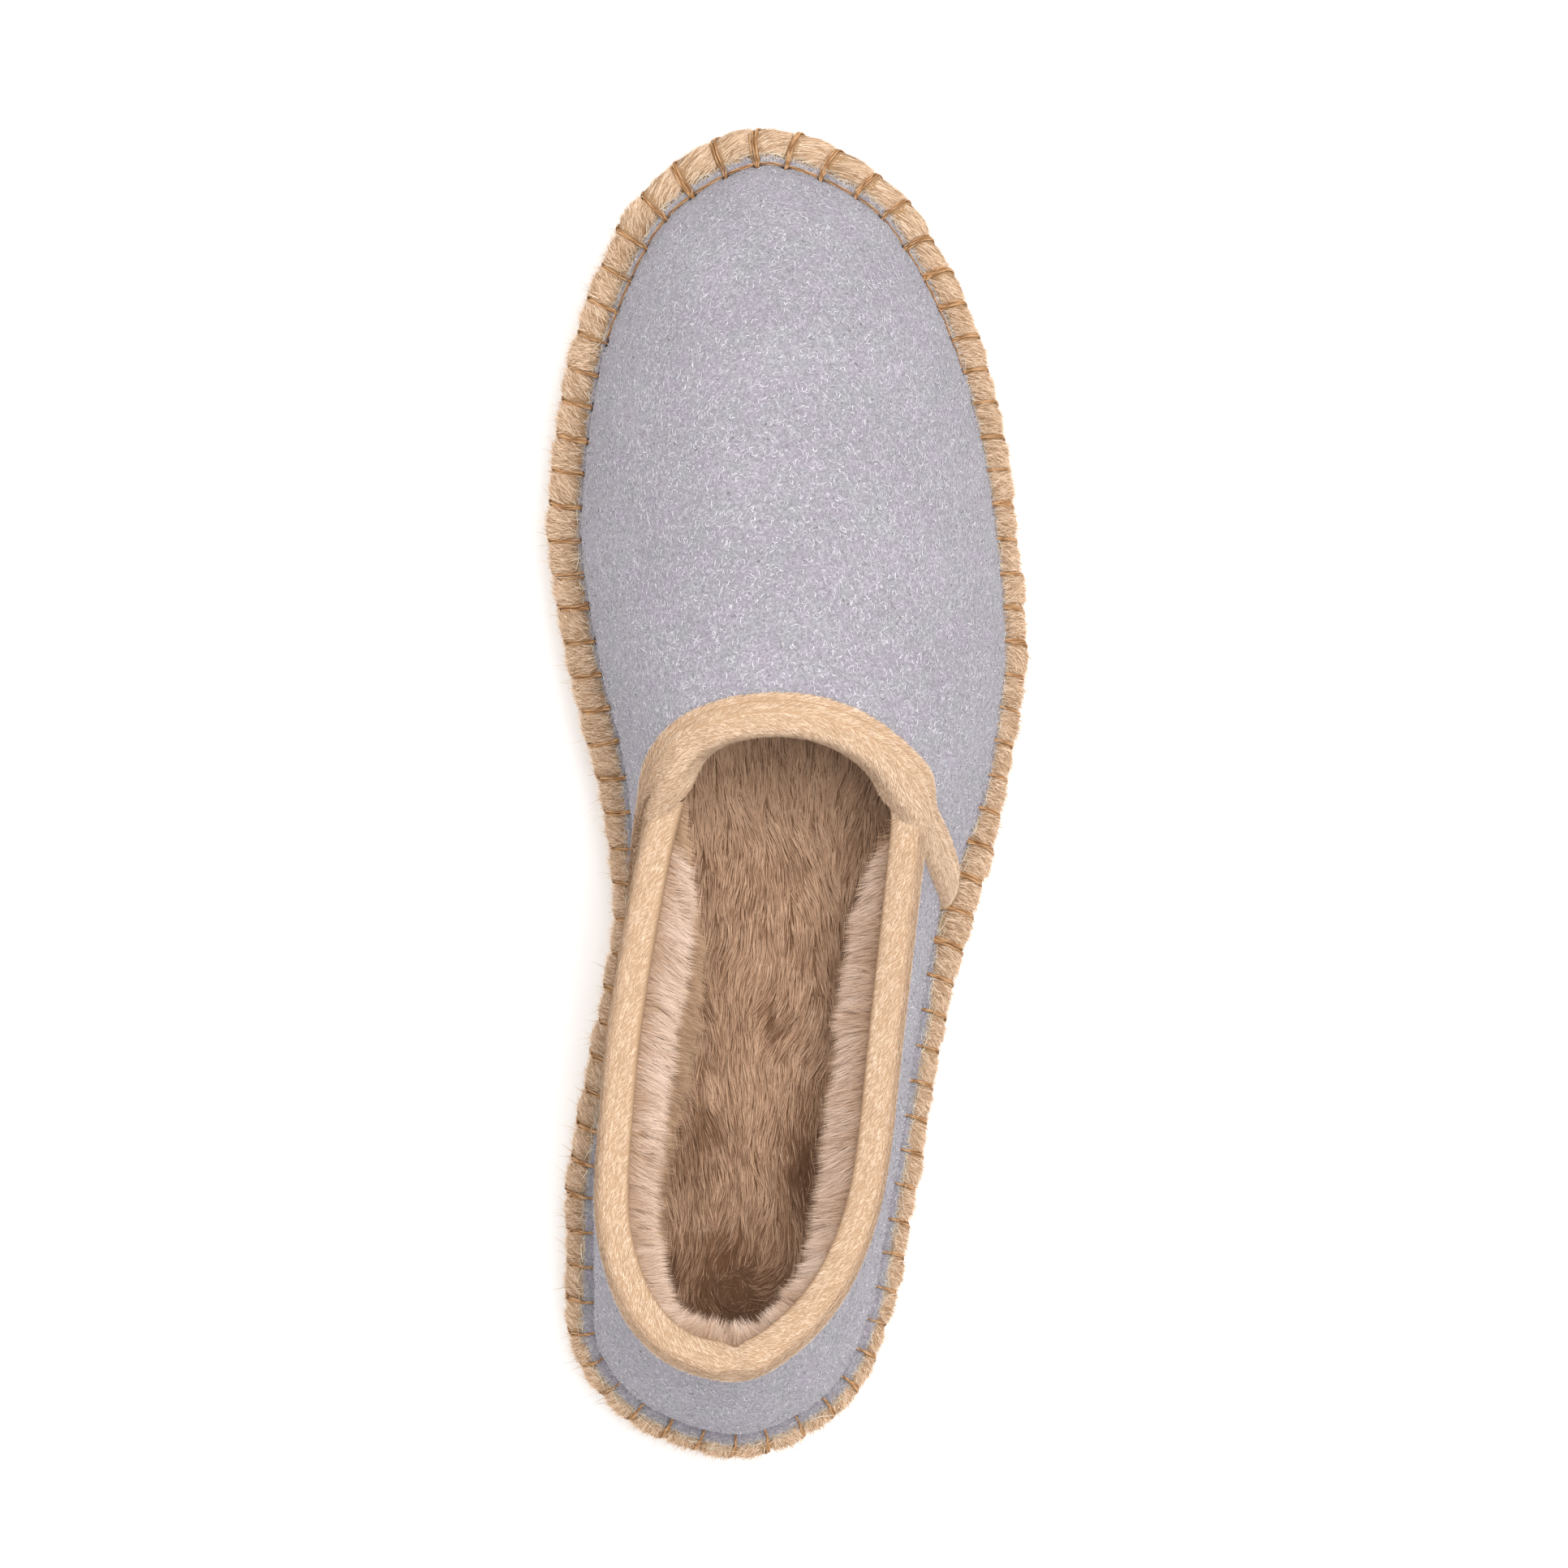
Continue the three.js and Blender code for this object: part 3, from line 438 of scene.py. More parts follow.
def napped_suede():
    """Suede: the flesh side of split leather, buffed. Its nap stands up in short pale curls over the
    darker ground, pale partly by painted highlight, with a slight change of tint from patch to patch
    and a few dark specks."""
    speck_colour, dark, light = linear(SUEDE_SPECK), linear(SUEDE_DARK), linear(SUEDE_LIGHT)
    material, tree = new_material("napped_suede")
    place = add_node(tree, "ShaderNodeTexCoord").outputs["Object"]
    nap = curls(tree, place, *CURL_LAYERS[0])
    for layer in CURL_LAYERS[1:]:
        nap = add_node(tree, "ShaderNodeMath", {"operation": "MAXIMUM"}, {
            0: nap, 1: curls(tree, place, *layer)}).outputs[0]
    grain = add_node(tree, "ShaderNodeTexNoise", inputs={
        "Vector": place, "Scale": 1 / (GRAIN_SIZE * MM), "Detail": 2.0, "Distortion": 1.0})
    ground = add_node(tree, "ShaderNodeMapRange", inputs={
        "Value": grain.outputs["Fac"], "From Min": 0.3, "From Max": 0.7,
        "To Min": 0.05, "To Max": 0.45})
    share = add_node(tree, "ShaderNodeMath", {"operation": "MULTIPLY_ADD"}, {
        0: nap, 1: CURL_MIX, 2: ground.outputs[0]})
    base = add_node(tree, "ShaderNodeMix", {"data_type": "RGBA"}, {
        0: share.outputs[0], 6: dark, 7: light})
    tint = add_node(tree, "ShaderNodeTexNoise", inputs={
        "Vector": place, "Scale": 1 / (TINT_SIZE * MM), "Detail": 2.0})
    tints = add_node(tree, "ShaderNodeValToRGB", inputs={"Fac": tint.outputs["Fac"]},
                     ramp=[(0.35, linear("f5f7f5")), (0.65, linear("f8f3f8"))])
    tinted = add_node(tree, "ShaderNodeMix", {"data_type": "RGBA", "blend_type": "MULTIPLY"}, {
        0: 1.0, 6: base.outputs[2], 7: tints.outputs["Color"]})
    patch = add_node(tree, "ShaderNodeTexNoise", inputs={
        "Vector": place, "Scale": 1 / (PATCH_SIZE * MM), "Detail": 3.0})
    shade = add_node(tree, "ShaderNodeMapRange", inputs={
        "Value": patch.outputs["Fac"], "From Min": 0.3, "From Max": 0.7,
        "To Min": 0.95, "To Max": 1.04})
    toned = add_node(tree, "ShaderNodeMix", {"data_type": "RGBA", "blend_type": "MULTIPLY"}, {
        0: 1.0, 6: tinted.outputs[2], 7: shade.outputs[0]})
    speck = add_node(tree, "ShaderNodeTexNoise", inputs={
        "Vector": place, "Scale": 1 / (SPECK_SIZE * MM), "Detail": 1.0})
    specks = add_node(tree, "ShaderNodeMapRange", inputs={
        "Value": speck.outputs["Fac"], "From Min": 0.72, "From Max": 0.78,
        "To Min": 0.0, "To Max": 0.7})
    final = add_node(tree, "ShaderNodeMix", {"data_type": "RGBA"}, {
        0: specks.outputs[0], 6: toned.outputs[2], 7: speck_colour})
    bump = add_node(tree, "ShaderNodeBump", inputs={
        "Strength": 0.6, "Distance": 0.2 * MM, "Height": share.outputs[0]})
    finish_material(tree, {
        "Base Color": final.outputs[2], "Roughness": 0.95, "Specular IOR Level": 0.15,
        "Sheen Weight": 0.08, "Sheen Roughness": 0.6, "Normal": bump.outputs[0]})
    return material


# Fibres by material: colour at the root, at the tip, and of the palest ones
FIBRES = {
    # Jute, retted and combed: long dull straw-coloured fibres with brown shade in the gaps
    "jute_fibre": ("967759", "d9b594", "f0d8be"),
    # Cotton thread, twisted and waxed: amber, a little smoother than the jute, with painted shade in
    # the turns of its twist
    "waxed_cotton_thread": ("7d5836", "b3865c", "cfa67c"),
    # Suede's nap, brushed up: pale grey curls, partly their own paler colour and partly a painted
    # highlight where they catch the light
    "suede_nap_and_highlight": ("8f8b91", "cac6cd", "e4e1e6"),
    # Cotton backing cloth, cut and frayed: cream threads that lie loose along the edge
    "cut_cotton": ("a3927b", "d2c0a5", "eadcc5"),
    # Suede, cut raw: short grey fibres that blur the edge
    "cut_suede_fibre": ("8d8a90", "b9b3b2", "d8cfc6"),
    # Cotton plush, woven and sheared: dense short pile in warm cream, darker where it parts
    "plush_pile": ("a78a6e", "dfc0a2", "f3dcc4"),
    # Acrylic fur, knitted and brushed: long soft hairs, pale pink cream on the rolled edge
    "lining_fur": ("b49277", "e8cab4", "f7e2d2"),
    # The same fur lower down and inside the vamp, pressed: browner, with the shade of the roll and the
    # vamp painted in
    "shaded_lining_fur": ("8e7054", "c6a283", "d8b698"),
    # The same fur under the foot, pressed flat: brown, with painted shade at the roots where tufts part
    "insole_fur": ("70503a", "c59c7d", "e2bd9e"),
}
DARK_SHARE = 0.4  # fibres with a lower tone than this are mixed towards their root's colour: painted shade, and some fibres darker at random
DARK_MIX = 0.9  # how much of it the darkest get
PALE_MIX = 0.8  # how much of the pale colour the palest get


def fibre_material(name, roughness=0.9):
    """Loose fibres or hairs: dark where they stand in each other's shade, paler to the tip."""
    root, tip, pale = (linear(colour) for colour in FIBRES[name])
    material, tree = new_material(name)
    strand = add_node(tree, "ShaderNodeAttribute", {"attribute_name": "strand"})
    parts = add_node(tree, "ShaderNodeSeparateXYZ", inputs={0: strand.outputs["Vector"]})
    along = add_node(tree, "ShaderNodeMix", {"data_type": "RGBA"}, {
        0: parts.outputs["X"], 6: root, 7: tip})
    chance = add_node(tree, "ShaderNodeMapRange", inputs={
        "Value": parts.outputs["Y"], "From Min": DARK_SHARE, "From Max": 1.0,
        "To Min": 0.0, "To Max": PALE_MIX})
    varied = add_node(tree, "ShaderNodeMix", {"data_type": "RGBA"}, {
        0: chance.outputs[0], 6: along.outputs[2], 7: pale})
    # Painted shade: the lowest tones take on the root's colour, the shade deep among the hairs
    depth = add_node(tree, "ShaderNodeMapRange", inputs={
        "Value": parts.outputs["Y"], "From Min": 0.0, "From Max": DARK_SHARE,
        "To Min": DARK_MIX, "To Max": 0.0})
    shaded = add_node(tree, "ShaderNodeMix", {"data_type": "RGBA"}, {
        0: depth.outputs[0], 6: varied.outputs[2], 7: root})
    finish_material(tree, {
        "Base Color": shaded.outputs[2], "Roughness": roughness, "Specular IOR Level": 0.2})
    return material


# Grounds by material: dark colour, light colour, size of the mottling, depth of its relief
GROUNDS = {
    # Jute under the combed fibres: brown straw, broken by the strands that it is plaited from
    "combed_jute": ("806246", "b6926c", 0.7, 0.35),
    # Suede pierced by the needle: the raw wall of the hole, dark with painted shade inside it
    "pierced_edge_and_shade": ("4a3a2c", "6d5a49", 0.5, 0.1),
    # Cotton plush's woven ground: tan, seen between the pile
    "plush_tape": ("9b7d60", "c3a284", 0.6, 0.2),
    # The knitted back of the lining's fur: tan, seen where the hairs part
    "lining_hide": ("a5845f", "c9a583", 1.2, 0.4),
    # The knitted back of the footbed's fur: brown, in the shade of the hairs
    "insole_hide": ("75543b", "9c7858", 1.5, 0.5),
}


def soft_ground(name):
    """The mass under the fibres: mottled, with a matt broken surface."""
    low, high, size, depth = GROUNDS[name]
    low, high = linear(low), linear(high)
    material, tree = new_material(name)
    place = add_node(tree, "ShaderNodeTexCoord").outputs["Object"]
    noise = add_node(tree, "ShaderNodeTexNoise", inputs={
        "Vector": place, "Scale": 1 / (size * MM), "Detail": 4.0, "Distortion": 0.6})
    mixed = add_node(tree, "ShaderNodeMix", {"data_type": "RGBA"}, {
        0: noise.outputs["Fac"], 6: low, 7: high})
    bump = add_node(tree, "ShaderNodeBump", inputs={
        "Strength": 0.6, "Distance": depth * MM, "Height": noise.outputs["Fac"]})
    finish_material(tree, {
        "Base Color": mixed.outputs[2], "Roughness": 0.95, "Specular IOR Level": 0.15,
        "Normal": bump.outputs[0]})
    return material


def give(made, material):
    """Gives a piece its material and slot, and lets it ride on the shoe's one body."""
    made.data.materials.clear()
    made.data.materials.append(material)
    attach(made, "root")
    return made


# Jute sole
SPREAD_TOE = 0.27  # the stitches spread at the toe and the heel, as shares of the pitch
SPREAD_HEEL = 0.08
SPREAD_START = 0.86  # share of the length where they begin to spread towards the toe
SPREAD_OVER_TOE = 0.12  # shares of the length over which they spread
SPREAD_OVER_HEEL = 0.08
PLAIT_DENT = 0.9  # how far a stitch draws the plait in
THREAD_REACH = 0.085  # how far that reaches from the stitch, in cells
CELL_ROUNDING = 0.25  # how much a whole cell rounds off towards its stitches, as a share of the dent
CELL_UNEVEN = 0.22  # how much the cells between stitches differ in depth, and in height
CELL_UNEVEN_UP = 0.12
SURFACE_RIPPLE = 0.22
RIPPLE_SIZE = 3.5
AXIS_END = 0.44  # where the sole's long axis ends, as a share of the length from the middle
JUTE_STEPS = 10  # rows of the mesh in each cell
SECTION_STEPS = 41  # columns of the mesh from under the upper to under the sole
JUTE_FOOT = 38.0  # the last of those columns that fibres lie on


def stitch_places(pitch):
    """Places of the blanket stitches round the edge, wider apart at the toe and the heel."""
    fine = np.linspace(0, ROWS, ROWS * 24 + 1)
    along = column("along", (fine[1:] + fine[:-1]) / 2)
    spread = SPREAD_TOE * smooth((along - SPREAD_START) / SPREAD_OVER_TOE)
    spread += SPREAD_HEEL * smooth((SPREAD_OVER_HEEL - along) / SPREAD_OVER_HEEL)
    lengths = np.linalg.norm(np.diff(edge_point(fine), axis=0), axis=1)
    run = np.concatenate([[0], np.cumsum(lengths / (pitch * (1 + spread)))])
    count = int(round(run[-1]))
    return np.interp(np.arange(count) / count * run[-1], run, fine)


def cell_places(stitches, cells):
    """Places round the edge of cells counted in stitches."""
    count = len(stitches)
    padded = np.concatenate([stitches, stitches[:1] + ROWS])
    whole = np.floor(cells)
    within = np.interp(cells - whole + whole % count, np.arange(count + 1), padded)
    return within + ROWS * np.floor(cells / count)


# The jute's section from under the upper, over the shoulder and down the side: share of the height,
# inset from the sole's edge, how much of a cell's bulge shows, and the plait's lean along the edge
JUTE_SECTION = np.array([
    [1.0, 16.0, 0.0, 0.0], [1.0, 9.0, 0.0, 0.0], [1.0, 5.6, 0.05, 0.0], [1.025, 4.0, 0.5, 0.0],
    [1.035, 2.6, 0.9, 0.0], [1.02, 1.4, 1.0, 0.03], [0.975, 0.5, 1.0, 0.06], [0.9, 0.1, 1.0, 0.1],
    [0.8, -0.1, 1.0, 0.16], [0.7, -0.1, 1.0, 0.22], [0.6, 0.2, 0.9, 0.2], [0.52, 0.75, 0.7, 0.08],
    [0.46, 0.9, 0.6, 0.0], [0.4, 0.7, 0.7, -0.08], [0.32, 0.15, 0.9, -0.18], [0.22, -0.1, 1.0, -0.22],
    [0.12, 0.1, 0.9, -0.16], [0.04, 0.6, 0.7, -0.06], [0.0, 1.4, 0.4, 0.0], [0.0, 8.0, 0.0, 0.0],
    [0.0, 16.0, 0.0, 0.0],
])


def jute_grid(pitch):
    """Places of the stitches, and the grid of points of the jute sole between them."""
    stitches = stitch_places(pitch)
    count = len(stitches)
    cells = np.arange(count * JUTE_STEPS) / JUTE_STEPS
    knots = np.arange(len(JUTE_SECTION))
    places = np.linspace(0, knots[-1], SECTION_STEPS)
    section = np.stack([np.interp(places, knots, JUTE_SECTION[:, k]) for k in range(4)], axis=1)
    height, inset, bulge, lean = (section[None, :, k] for k in range(4))
    where = cells[:, None] + lean
    share = where - np.floor(where)
    near = np.minimum(share, 1 - share)
    thread = np.exp(-((near / THREAD_REACH) ** 2))
    rounding = 1 - np.sin(math.pi * share) ** 0.6
    dent = PLAIT_DENT * bulge * (0.8 * thread + CELL_ROUNDING * rounding)
    uneven = np.random.default_rng(11).normal(0, 1, (count, 2))
    cell = np.floor(where).astype(int) % count
    dent = dent + CELL_UNEVEN * bulge * uneven[cell, 0]
    u = cell_places(stitches, where)
    base, outward = edge_point(u), edge_outward(u)
    points = base - outward * (inset + dent)[..., None]
    rise = (height * JUTE_HEIGHT) - np.where(height > 1, (height - 1) * JUTE_HEIGHT * 1.6 * thread, 0)
    rise = rise + np.where(height > 0.99, CELL_UNEVEN_UP * bulge * uneven[cell, 1], 0)
    points[..., 2] = RUBBER_THICKNESS + spring_at(points[..., 1]) + rise
    points += (ripple(points, RIPPLE_SIZE, 5) * SURFACE_RIPPLE * bulge)[..., None] * outward
    axis = points[:, :1].copy()
    axis[..., 0] = AXIS_ACROSS * BALL_WIDTH
    axis[..., 1] = np.clip(axis[..., 1], -AXIS_END * SOLE_LENGTH, AXIS_END * SOLE_LENGTH)
    axis[..., 2] = SOLE_TOP + spring_at(axis[..., 1])
    low = axis.copy()
    low[..., 2] -= JUTE_HEIGHT
    return stitches, np.concatenate([axis, points, low], axis=1)


def hugging(grid, normals, i, j, steps_i, steps_j, lift, wrap_rows=True):
    """Strands that follow a surface from (i, j), with their heights over it at each knot."""
    knots = lift.shape[1]
    t = np.linspace(0, 1, knots)[None, :]
    a = i[:, None] + steps_i[:, None] * t
    b = j[:, None] + steps_j[:, None] * t
    place = sample(grid, a, b, wrap_rows)
    out = unit(sample(normals, a, b, wrap_rows))
    return place + out * lift[..., None], out[:, 0]


TOP_SHARE = 0.55  # how many fibres start on the ledge, and the rest down the side
TOP_START = (4.5, 14.0)  # columns of the mesh that they start from
SIDE_START = (13.0, 36.0)
CELL_CLEAR = 0.08  # share of a cell at each end that the stitch keeps free of fibres' roots
TIP_CLEAR = 0.06
TOE_LEAN = 0.42  # how far the toe's fibres lie slanted, in cells
TURN_COLUMN = 22  # above it the side's fibres slant one way, and below it the other, as two plaits
SHAGGY_COLUMNS = (9, 26)  # columns round the shoulder where tips stand out
TOP_REACH = (2.5, 5.5)  # how far the fibres run across the edge, in columns
SIDE_REACH = (3.0, 6.0)
JUTE_WIDTH = (0.1, 0.2)  # real fibres are finer, and these are drawn as coarse as they need to show
LOOSE_SHARE = 0.035  # how many fibres stand out loose


def build_jute(settings):
    """The plaited sole: its body and the combed fibres that lie over it, loose at the edge."""
    stitches, grid = jute_grid(settings.stitch_pitch / MM)
    rows, cols = grid.shape[:2]
    body = mesh_object("jute_braid", grid.reshape(-1, 3), [grid_faces(rows, cols, wrap_rows=True)])
    give(body, soft_ground("combed_jute"))
    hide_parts("jute_sole")
    normals = grid_normals(grid, wrap_rows=True)
    rng = np.random.default_rng(21)
    count = settings.jute_fibres
    cell = rng.integers(0, len(stitches), count)
    share = rng.uniform(CELL_CLEAR, 1 - CELL_CLEAR, count)
    top = rng.random(count) < TOP_SHARE
    j = np.where(top, rng.uniform(*TOP_START, count), rng.uniform(*SIDE_START, count))
    toe = smooth((column("along", stitches[cell]) - TOE_START) / 0.14)
    lean = np.where(j < TURN_COLUMN, 1.0, -1.0) * rng.normal(0.2, 0.12, count)
    lean = np.where(top, rng.normal(0.1, 0.14, count) + TOE_LEAN * toe, lean)
    cell_lean = np.random.default_rng(22).normal(0, 0.1, len(stitches))
    lean = np.clip(share + lean + cell_lean[cell], TIP_CLEAR, 1 - TIP_CLEAR) - share
    i = (cell + share) * JUTE_STEPS
    lean *= JUTE_STEPS
    reach = np.where(
        top, rng.uniform(*TOP_REACH, count) * (1 - 0.5 * toe), rng.uniform(*SIDE_REACH, count))
    reach = np.minimum(reach, JUTE_FOOT - j)
    lift = np.stack([
        np.full(count, 0.02), rng.uniform(0.12, 0.4, count), rng.uniform(0.0, 1.05, count) ** 1.6,
    ], axis=1)
    shaggy = (j > SHAGGY_COLUMNS[0]) & (j < SHAGGY_COLUMNS[1])
    lift[shaggy, 2] += 0.9 * rng.random(shaggy.sum()) ** 2
    loose = rng.random(count) < LOOSE_SHARE
    lift[loose, 1:] += (rng.random((loose.sum(), 1)) ** 3 * 3.2 + 0.3) * np.array([0.4, 1.2])
    lines, facing = hugging(grid, normals, i, j, lean, reach, lift)
    lines[..., 2] = np.maximum(lines[..., 2], RUBBER_THICKNESS + 0.2)
    width = rng.uniform(*JUTE_WIDTH, count) * np.where(loose, 0.6, 1.0)
    fibres = strand_object("jute_fibres", lines, facing, width, rng.random((count, 2)), taper=3.0)
    give(fibres, fibre_material("jute_fibre"))


THREAD_END = 0.35  # share of its thickness that a thread keeps at its ends
THREAD_TWIST = 1.3  # turn of the painted shade in the twist's grooves from one knot to the next, in radians


def thread_tubes(name, lines, radius, sides=5):
    """Round threads as one mesh, one tube for each line of points."""
    count, knots = lines.shape[:2]
    tangent = unit(np.gradient(lines, axis=1))
    up = np.zeros_like(tangent)
    up[..., 2] = 1
    up = np.where(np.abs(tangent[..., 2:]) > 0.9, np.array([1.0, 0, 0]), up)
    side = unit(np.cross(tangent, up))
    other = np.cross(side, tangent)
    angle = np.linspace(0, 2 * math.pi, sides, endpoint=False)
    ends = np.ones(knots)
    ends[[0, -1]] = THREAD_END
    ring = side[:, :, None] * np.cos(angle)[:, None] + other[:, :, None] * np.sin(angle)[:, None]
    points = lines[:, :, None] + ring * (radius[:, None] * ends[None])[:, :, None, None]
    faces = grid_faces(knots, sides, wrap_cols=True)
    faces = (faces[None] + (np.arange(count) * knots * sides)[:, None, None]).reshape(-1, 4)
    made = mesh_object(name, points.reshape(-1, 3), [faces])
    strand = np.zeros((count, knots, sides, 3))
    strand[..., 0] = np.linspace(0, 1, knots)[None, :, None]
    # Painted shade of the twist: a dark band that winds round each thread
    twist = angle[None, None, :] + THREAD_TWIST * np.arange(knots)[None, :, None]
    twist = np.sin(twist + np.arange(count)[:, None, None])
    strand[..., 1] = 0.5 + 0.5 * twist
    set_attribute(made, "strand", strand.reshape(-1, 3))
    return made


def seam_point(u, out=0.0):
    """The foot of the upper's outer face, on top of its flange."""
    lap = np.where(vamp_depth(u) > 0, lap_at(u), 0)
    point = face_point(u, 0.0) + edge_outward(u) * (lap + out)[..., None]
    point[..., 2] += UPPER_WALL
    return point


def flange_reach(u):
    """How far the upper's foot lies out on the jute: drawn in more tightly at the toe."""
    toe = smooth((column("along", u) - TOE_START) / 0.12)
    lap = np.where(vamp_depth(u) > 0, lap_at(u), 0.0)
    return column("flange", u) * FLANGE * (1 - 0.3 * toe) + lap


STRANDS = 4
STRAND_PITCH = 0.055  # distance between a stitch's strands, in cells
STITCH_FOOT = 26.5  # the column of the jute's mesh where a stitch goes into the side
STITCH_HEAD = 0.06  # where it comes out of the upper, as v of the last's face
STITCH_RADIUS = (0.18, 0.28)
SEAM_RADIUS = (0.12, 0.2)
MIDDLE_KEPT = 0.95  # share of the stitches that have each middle strand, and each outer one
OUTER_KEPT = 0.55
LEDGE_ROWS = slice(1, 9)  # rows of the jute's section across the ledge
OVER_FLANGE = 2.0  # height of a stitch over the flange that it holds down


def build_stitches(settings):
    """Blanket stitches over the ledge, of up to four strands each, and the thread along the seam at
    the toe."""
    stitches, grid = jute_grid(settings.stitch_pitch / MM)
    normals = grid_normals(grid, wrap_rows=True)
    rng = np.random.default_rng(8)
    count = len(stitches)
    edge = column("ledge", stitches) * LEDGE - flange_reach(stitches)
    inset, row = -JUTE_SECTION[LEDGE_ROWS, 1], np.arange(len(JUTE_SECTION))[LEDGE_ROWS]
    first = 1 + 2 * np.interp(-edge, inset, row)
    lines, radii = [], []
    for strand in range(STRANDS):
        shift = (strand - (STRANDS - 1) / 2) * STRAND_PITCH + rng.normal(0, 0.02, count)
        cells = np.arange(count) * JUTE_STEPS
        knots = np.linspace(0, 1, 14)[None, :]
        j = first[:, None] + (STITCH_FOOT - first[:, None]) * knots**1.15
        sway = rng.normal(0, 0.04, (count, 1)) * knots
        i = cells[:, None] + (shift[:, None] + sway) * JUTE_STEPS
        out = unit(sample(normals, i, j, True))
        height = 0.5 + 1.0 * np.exp(-((j - first[:, None]) / 1.6) ** 2) - 0.45 * smooth((j - 13) / 6)
        on_jute = sample(grid, i, j, True) + out * height[..., None]
        on_jute[:, -1] -= out[:, -1] * 1.5
        start = shell(stitches + shift * 0.05, STITCH_HEAD, lap_at(stitches) - 0.5)
        t = np.linspace(0, 1, 7)[:-1]
        bridge = start[:, None] + (on_jute[:, :1] - start[:, None]) * t[None, :, None]
        flat = SOLE_TOP + spring_at(bridge[..., 1]) + GAP + OVER_FLANGE
        bridge[:, 1:, 2] = np.maximum(bridge[:, 1:, 2], flat[:, 1:])
        line = np.concatenate([bridge, on_jute], axis=1)
        from_edge = line - edge_point(stitches)[:, None]
        beyond = edge[:, None] + (from_edge * edge_outward(stitches)[:, None]).sum(-1)
        clear = SOLE_TOP + spring_at(line[..., 1]) + GAP + 1.9 - 1.2 * smooth(beyond / 1.2)
        line[..., 2] = np.where(beyond < 1.2, np.maximum(line[..., 2], clear), line[..., 2])
        keep = rng.random(count) < (MIDDLE_KEPT if strand in (1, 2) else OUTER_KEPT)
        lines.append(line[keep])
        radii.append(rng.uniform(*STITCH_RADIUS, keep.sum()))
    made = thread_tubes("blanket_stitches", np.concatenate(lines), np.concatenate(radii))
    thread = fibre_material("waxed_cotton_thread", roughness=0.7)
    give(made, thread)
    links, radii = [], []
    nxt = np.concatenate([stitches[1:], stitches[:1] + ROWS])
    keep = column("along", stitches) > TOE_START
    t = np.linspace(0.04, 0.96, 9)
    for strand in range(2):
        u = stitches[keep, None] + (nxt - stitches)[keep, None] * t[None]
        line = seam_point(u, np.full(u.shape, 0.1 + 0.35 * strand))
        line[..., 2] += 0.12 + 0.1 * strand - 0.25 * np.abs(2 * t - 1)[None] ** 6
        links.append(line)
        radii.append(rng.uniform(*SEAM_RADIUS, keep.sum()))
    made = thread_tubes("seam_thread", np.concatenate(links), np.concatenate(radii))
    give(made, thread)
    build_holes(stitches)


# A hole's section, from its middle: radius, distance out of the suede
HOLE_RINGS = ((0.0, -0.5), (0.45, -0.35), (0.75, 0.02), (0.95, 0.06))
HOLE_LEVEL = 0.035  # v of the last's face where the holes are
HOLE_SIDES = 10


def build_holes(stitches):
    """The holes that the needle made at the foot of the upper, each a small dished disc, dark with
    painted shade.
    """
    turn = np.linspace(0, 2 * math.pi, HOLE_SIDES, endpoint=False)
    outward = edge_outward(stitches)
    along = np.stack([-outward[:, 1], outward[:, 0], outward[:, 2]], axis=1)
    centre = shell(stitches, HOLE_LEVEL, lap_at(stitches))
    normal = face_normal(stitches, HOLE_LEVEL)
    up = unit(np.cross(normal, along))
    rng = np.random.default_rng(3)
    size = rng.uniform(0.75, 1.25, len(stitches))
    layers = []
    for radius, out in HOLE_RINGS:
        flat = along[:, None] * np.cos(turn)[None, :, None] * 1.1
        flat = flat + up[:, None] * np.sin(turn)[None, :, None] * 0.8
        flat = flat * (radius * size)[:, None, None]
        layers.append(centre[:, None] + flat + (normal * (out + 0.06))[:, None])
    points = np.stack(layers, axis=1)
    faces = grid_faces(len(HOLE_RINGS), len(turn), wrap_cols=True)
    each = len(HOLE_RINGS) * len(turn)
    faces = (faces[None] + (np.arange(len(stitches)) * each)[:, None, None]).reshape(-1, 4)
    made = mesh_object("stitch_holes", points.reshape(-1, 3), [faces])
    give(made, soft_ground("pierced_edge_and_shade"))


# Upper

# Levels of the outer face's mesh, as shares of the way up: close together at the puckered foot
FACE_LEVELS = np.concatenate([[0.045, 0.075], np.linspace(0.11, 1, 38)])
FLANGE_COLUMNS = 3  # columns of the grid in the flange, before the crease at the foot of the face
PUCKER_REACH = 0.045  # how far round and up a stitch pulls the suede in: ribs, share of the height
PUCKER_HEIGHT = 0.07
PUCKER_DEPTH = 0.55
SWELL_DEPTH = 0.28  # slow unevenness of the face, and how far apart its waves are
SWELL_SIZE = 34
DRAWN_DEPTH = 0.22  # quicker waves beside the seam, where the stitches draw the suede in
DRAWN_SIZE = 9
EDGE_THICKNESS = 1.0  # of the flange's cut edge


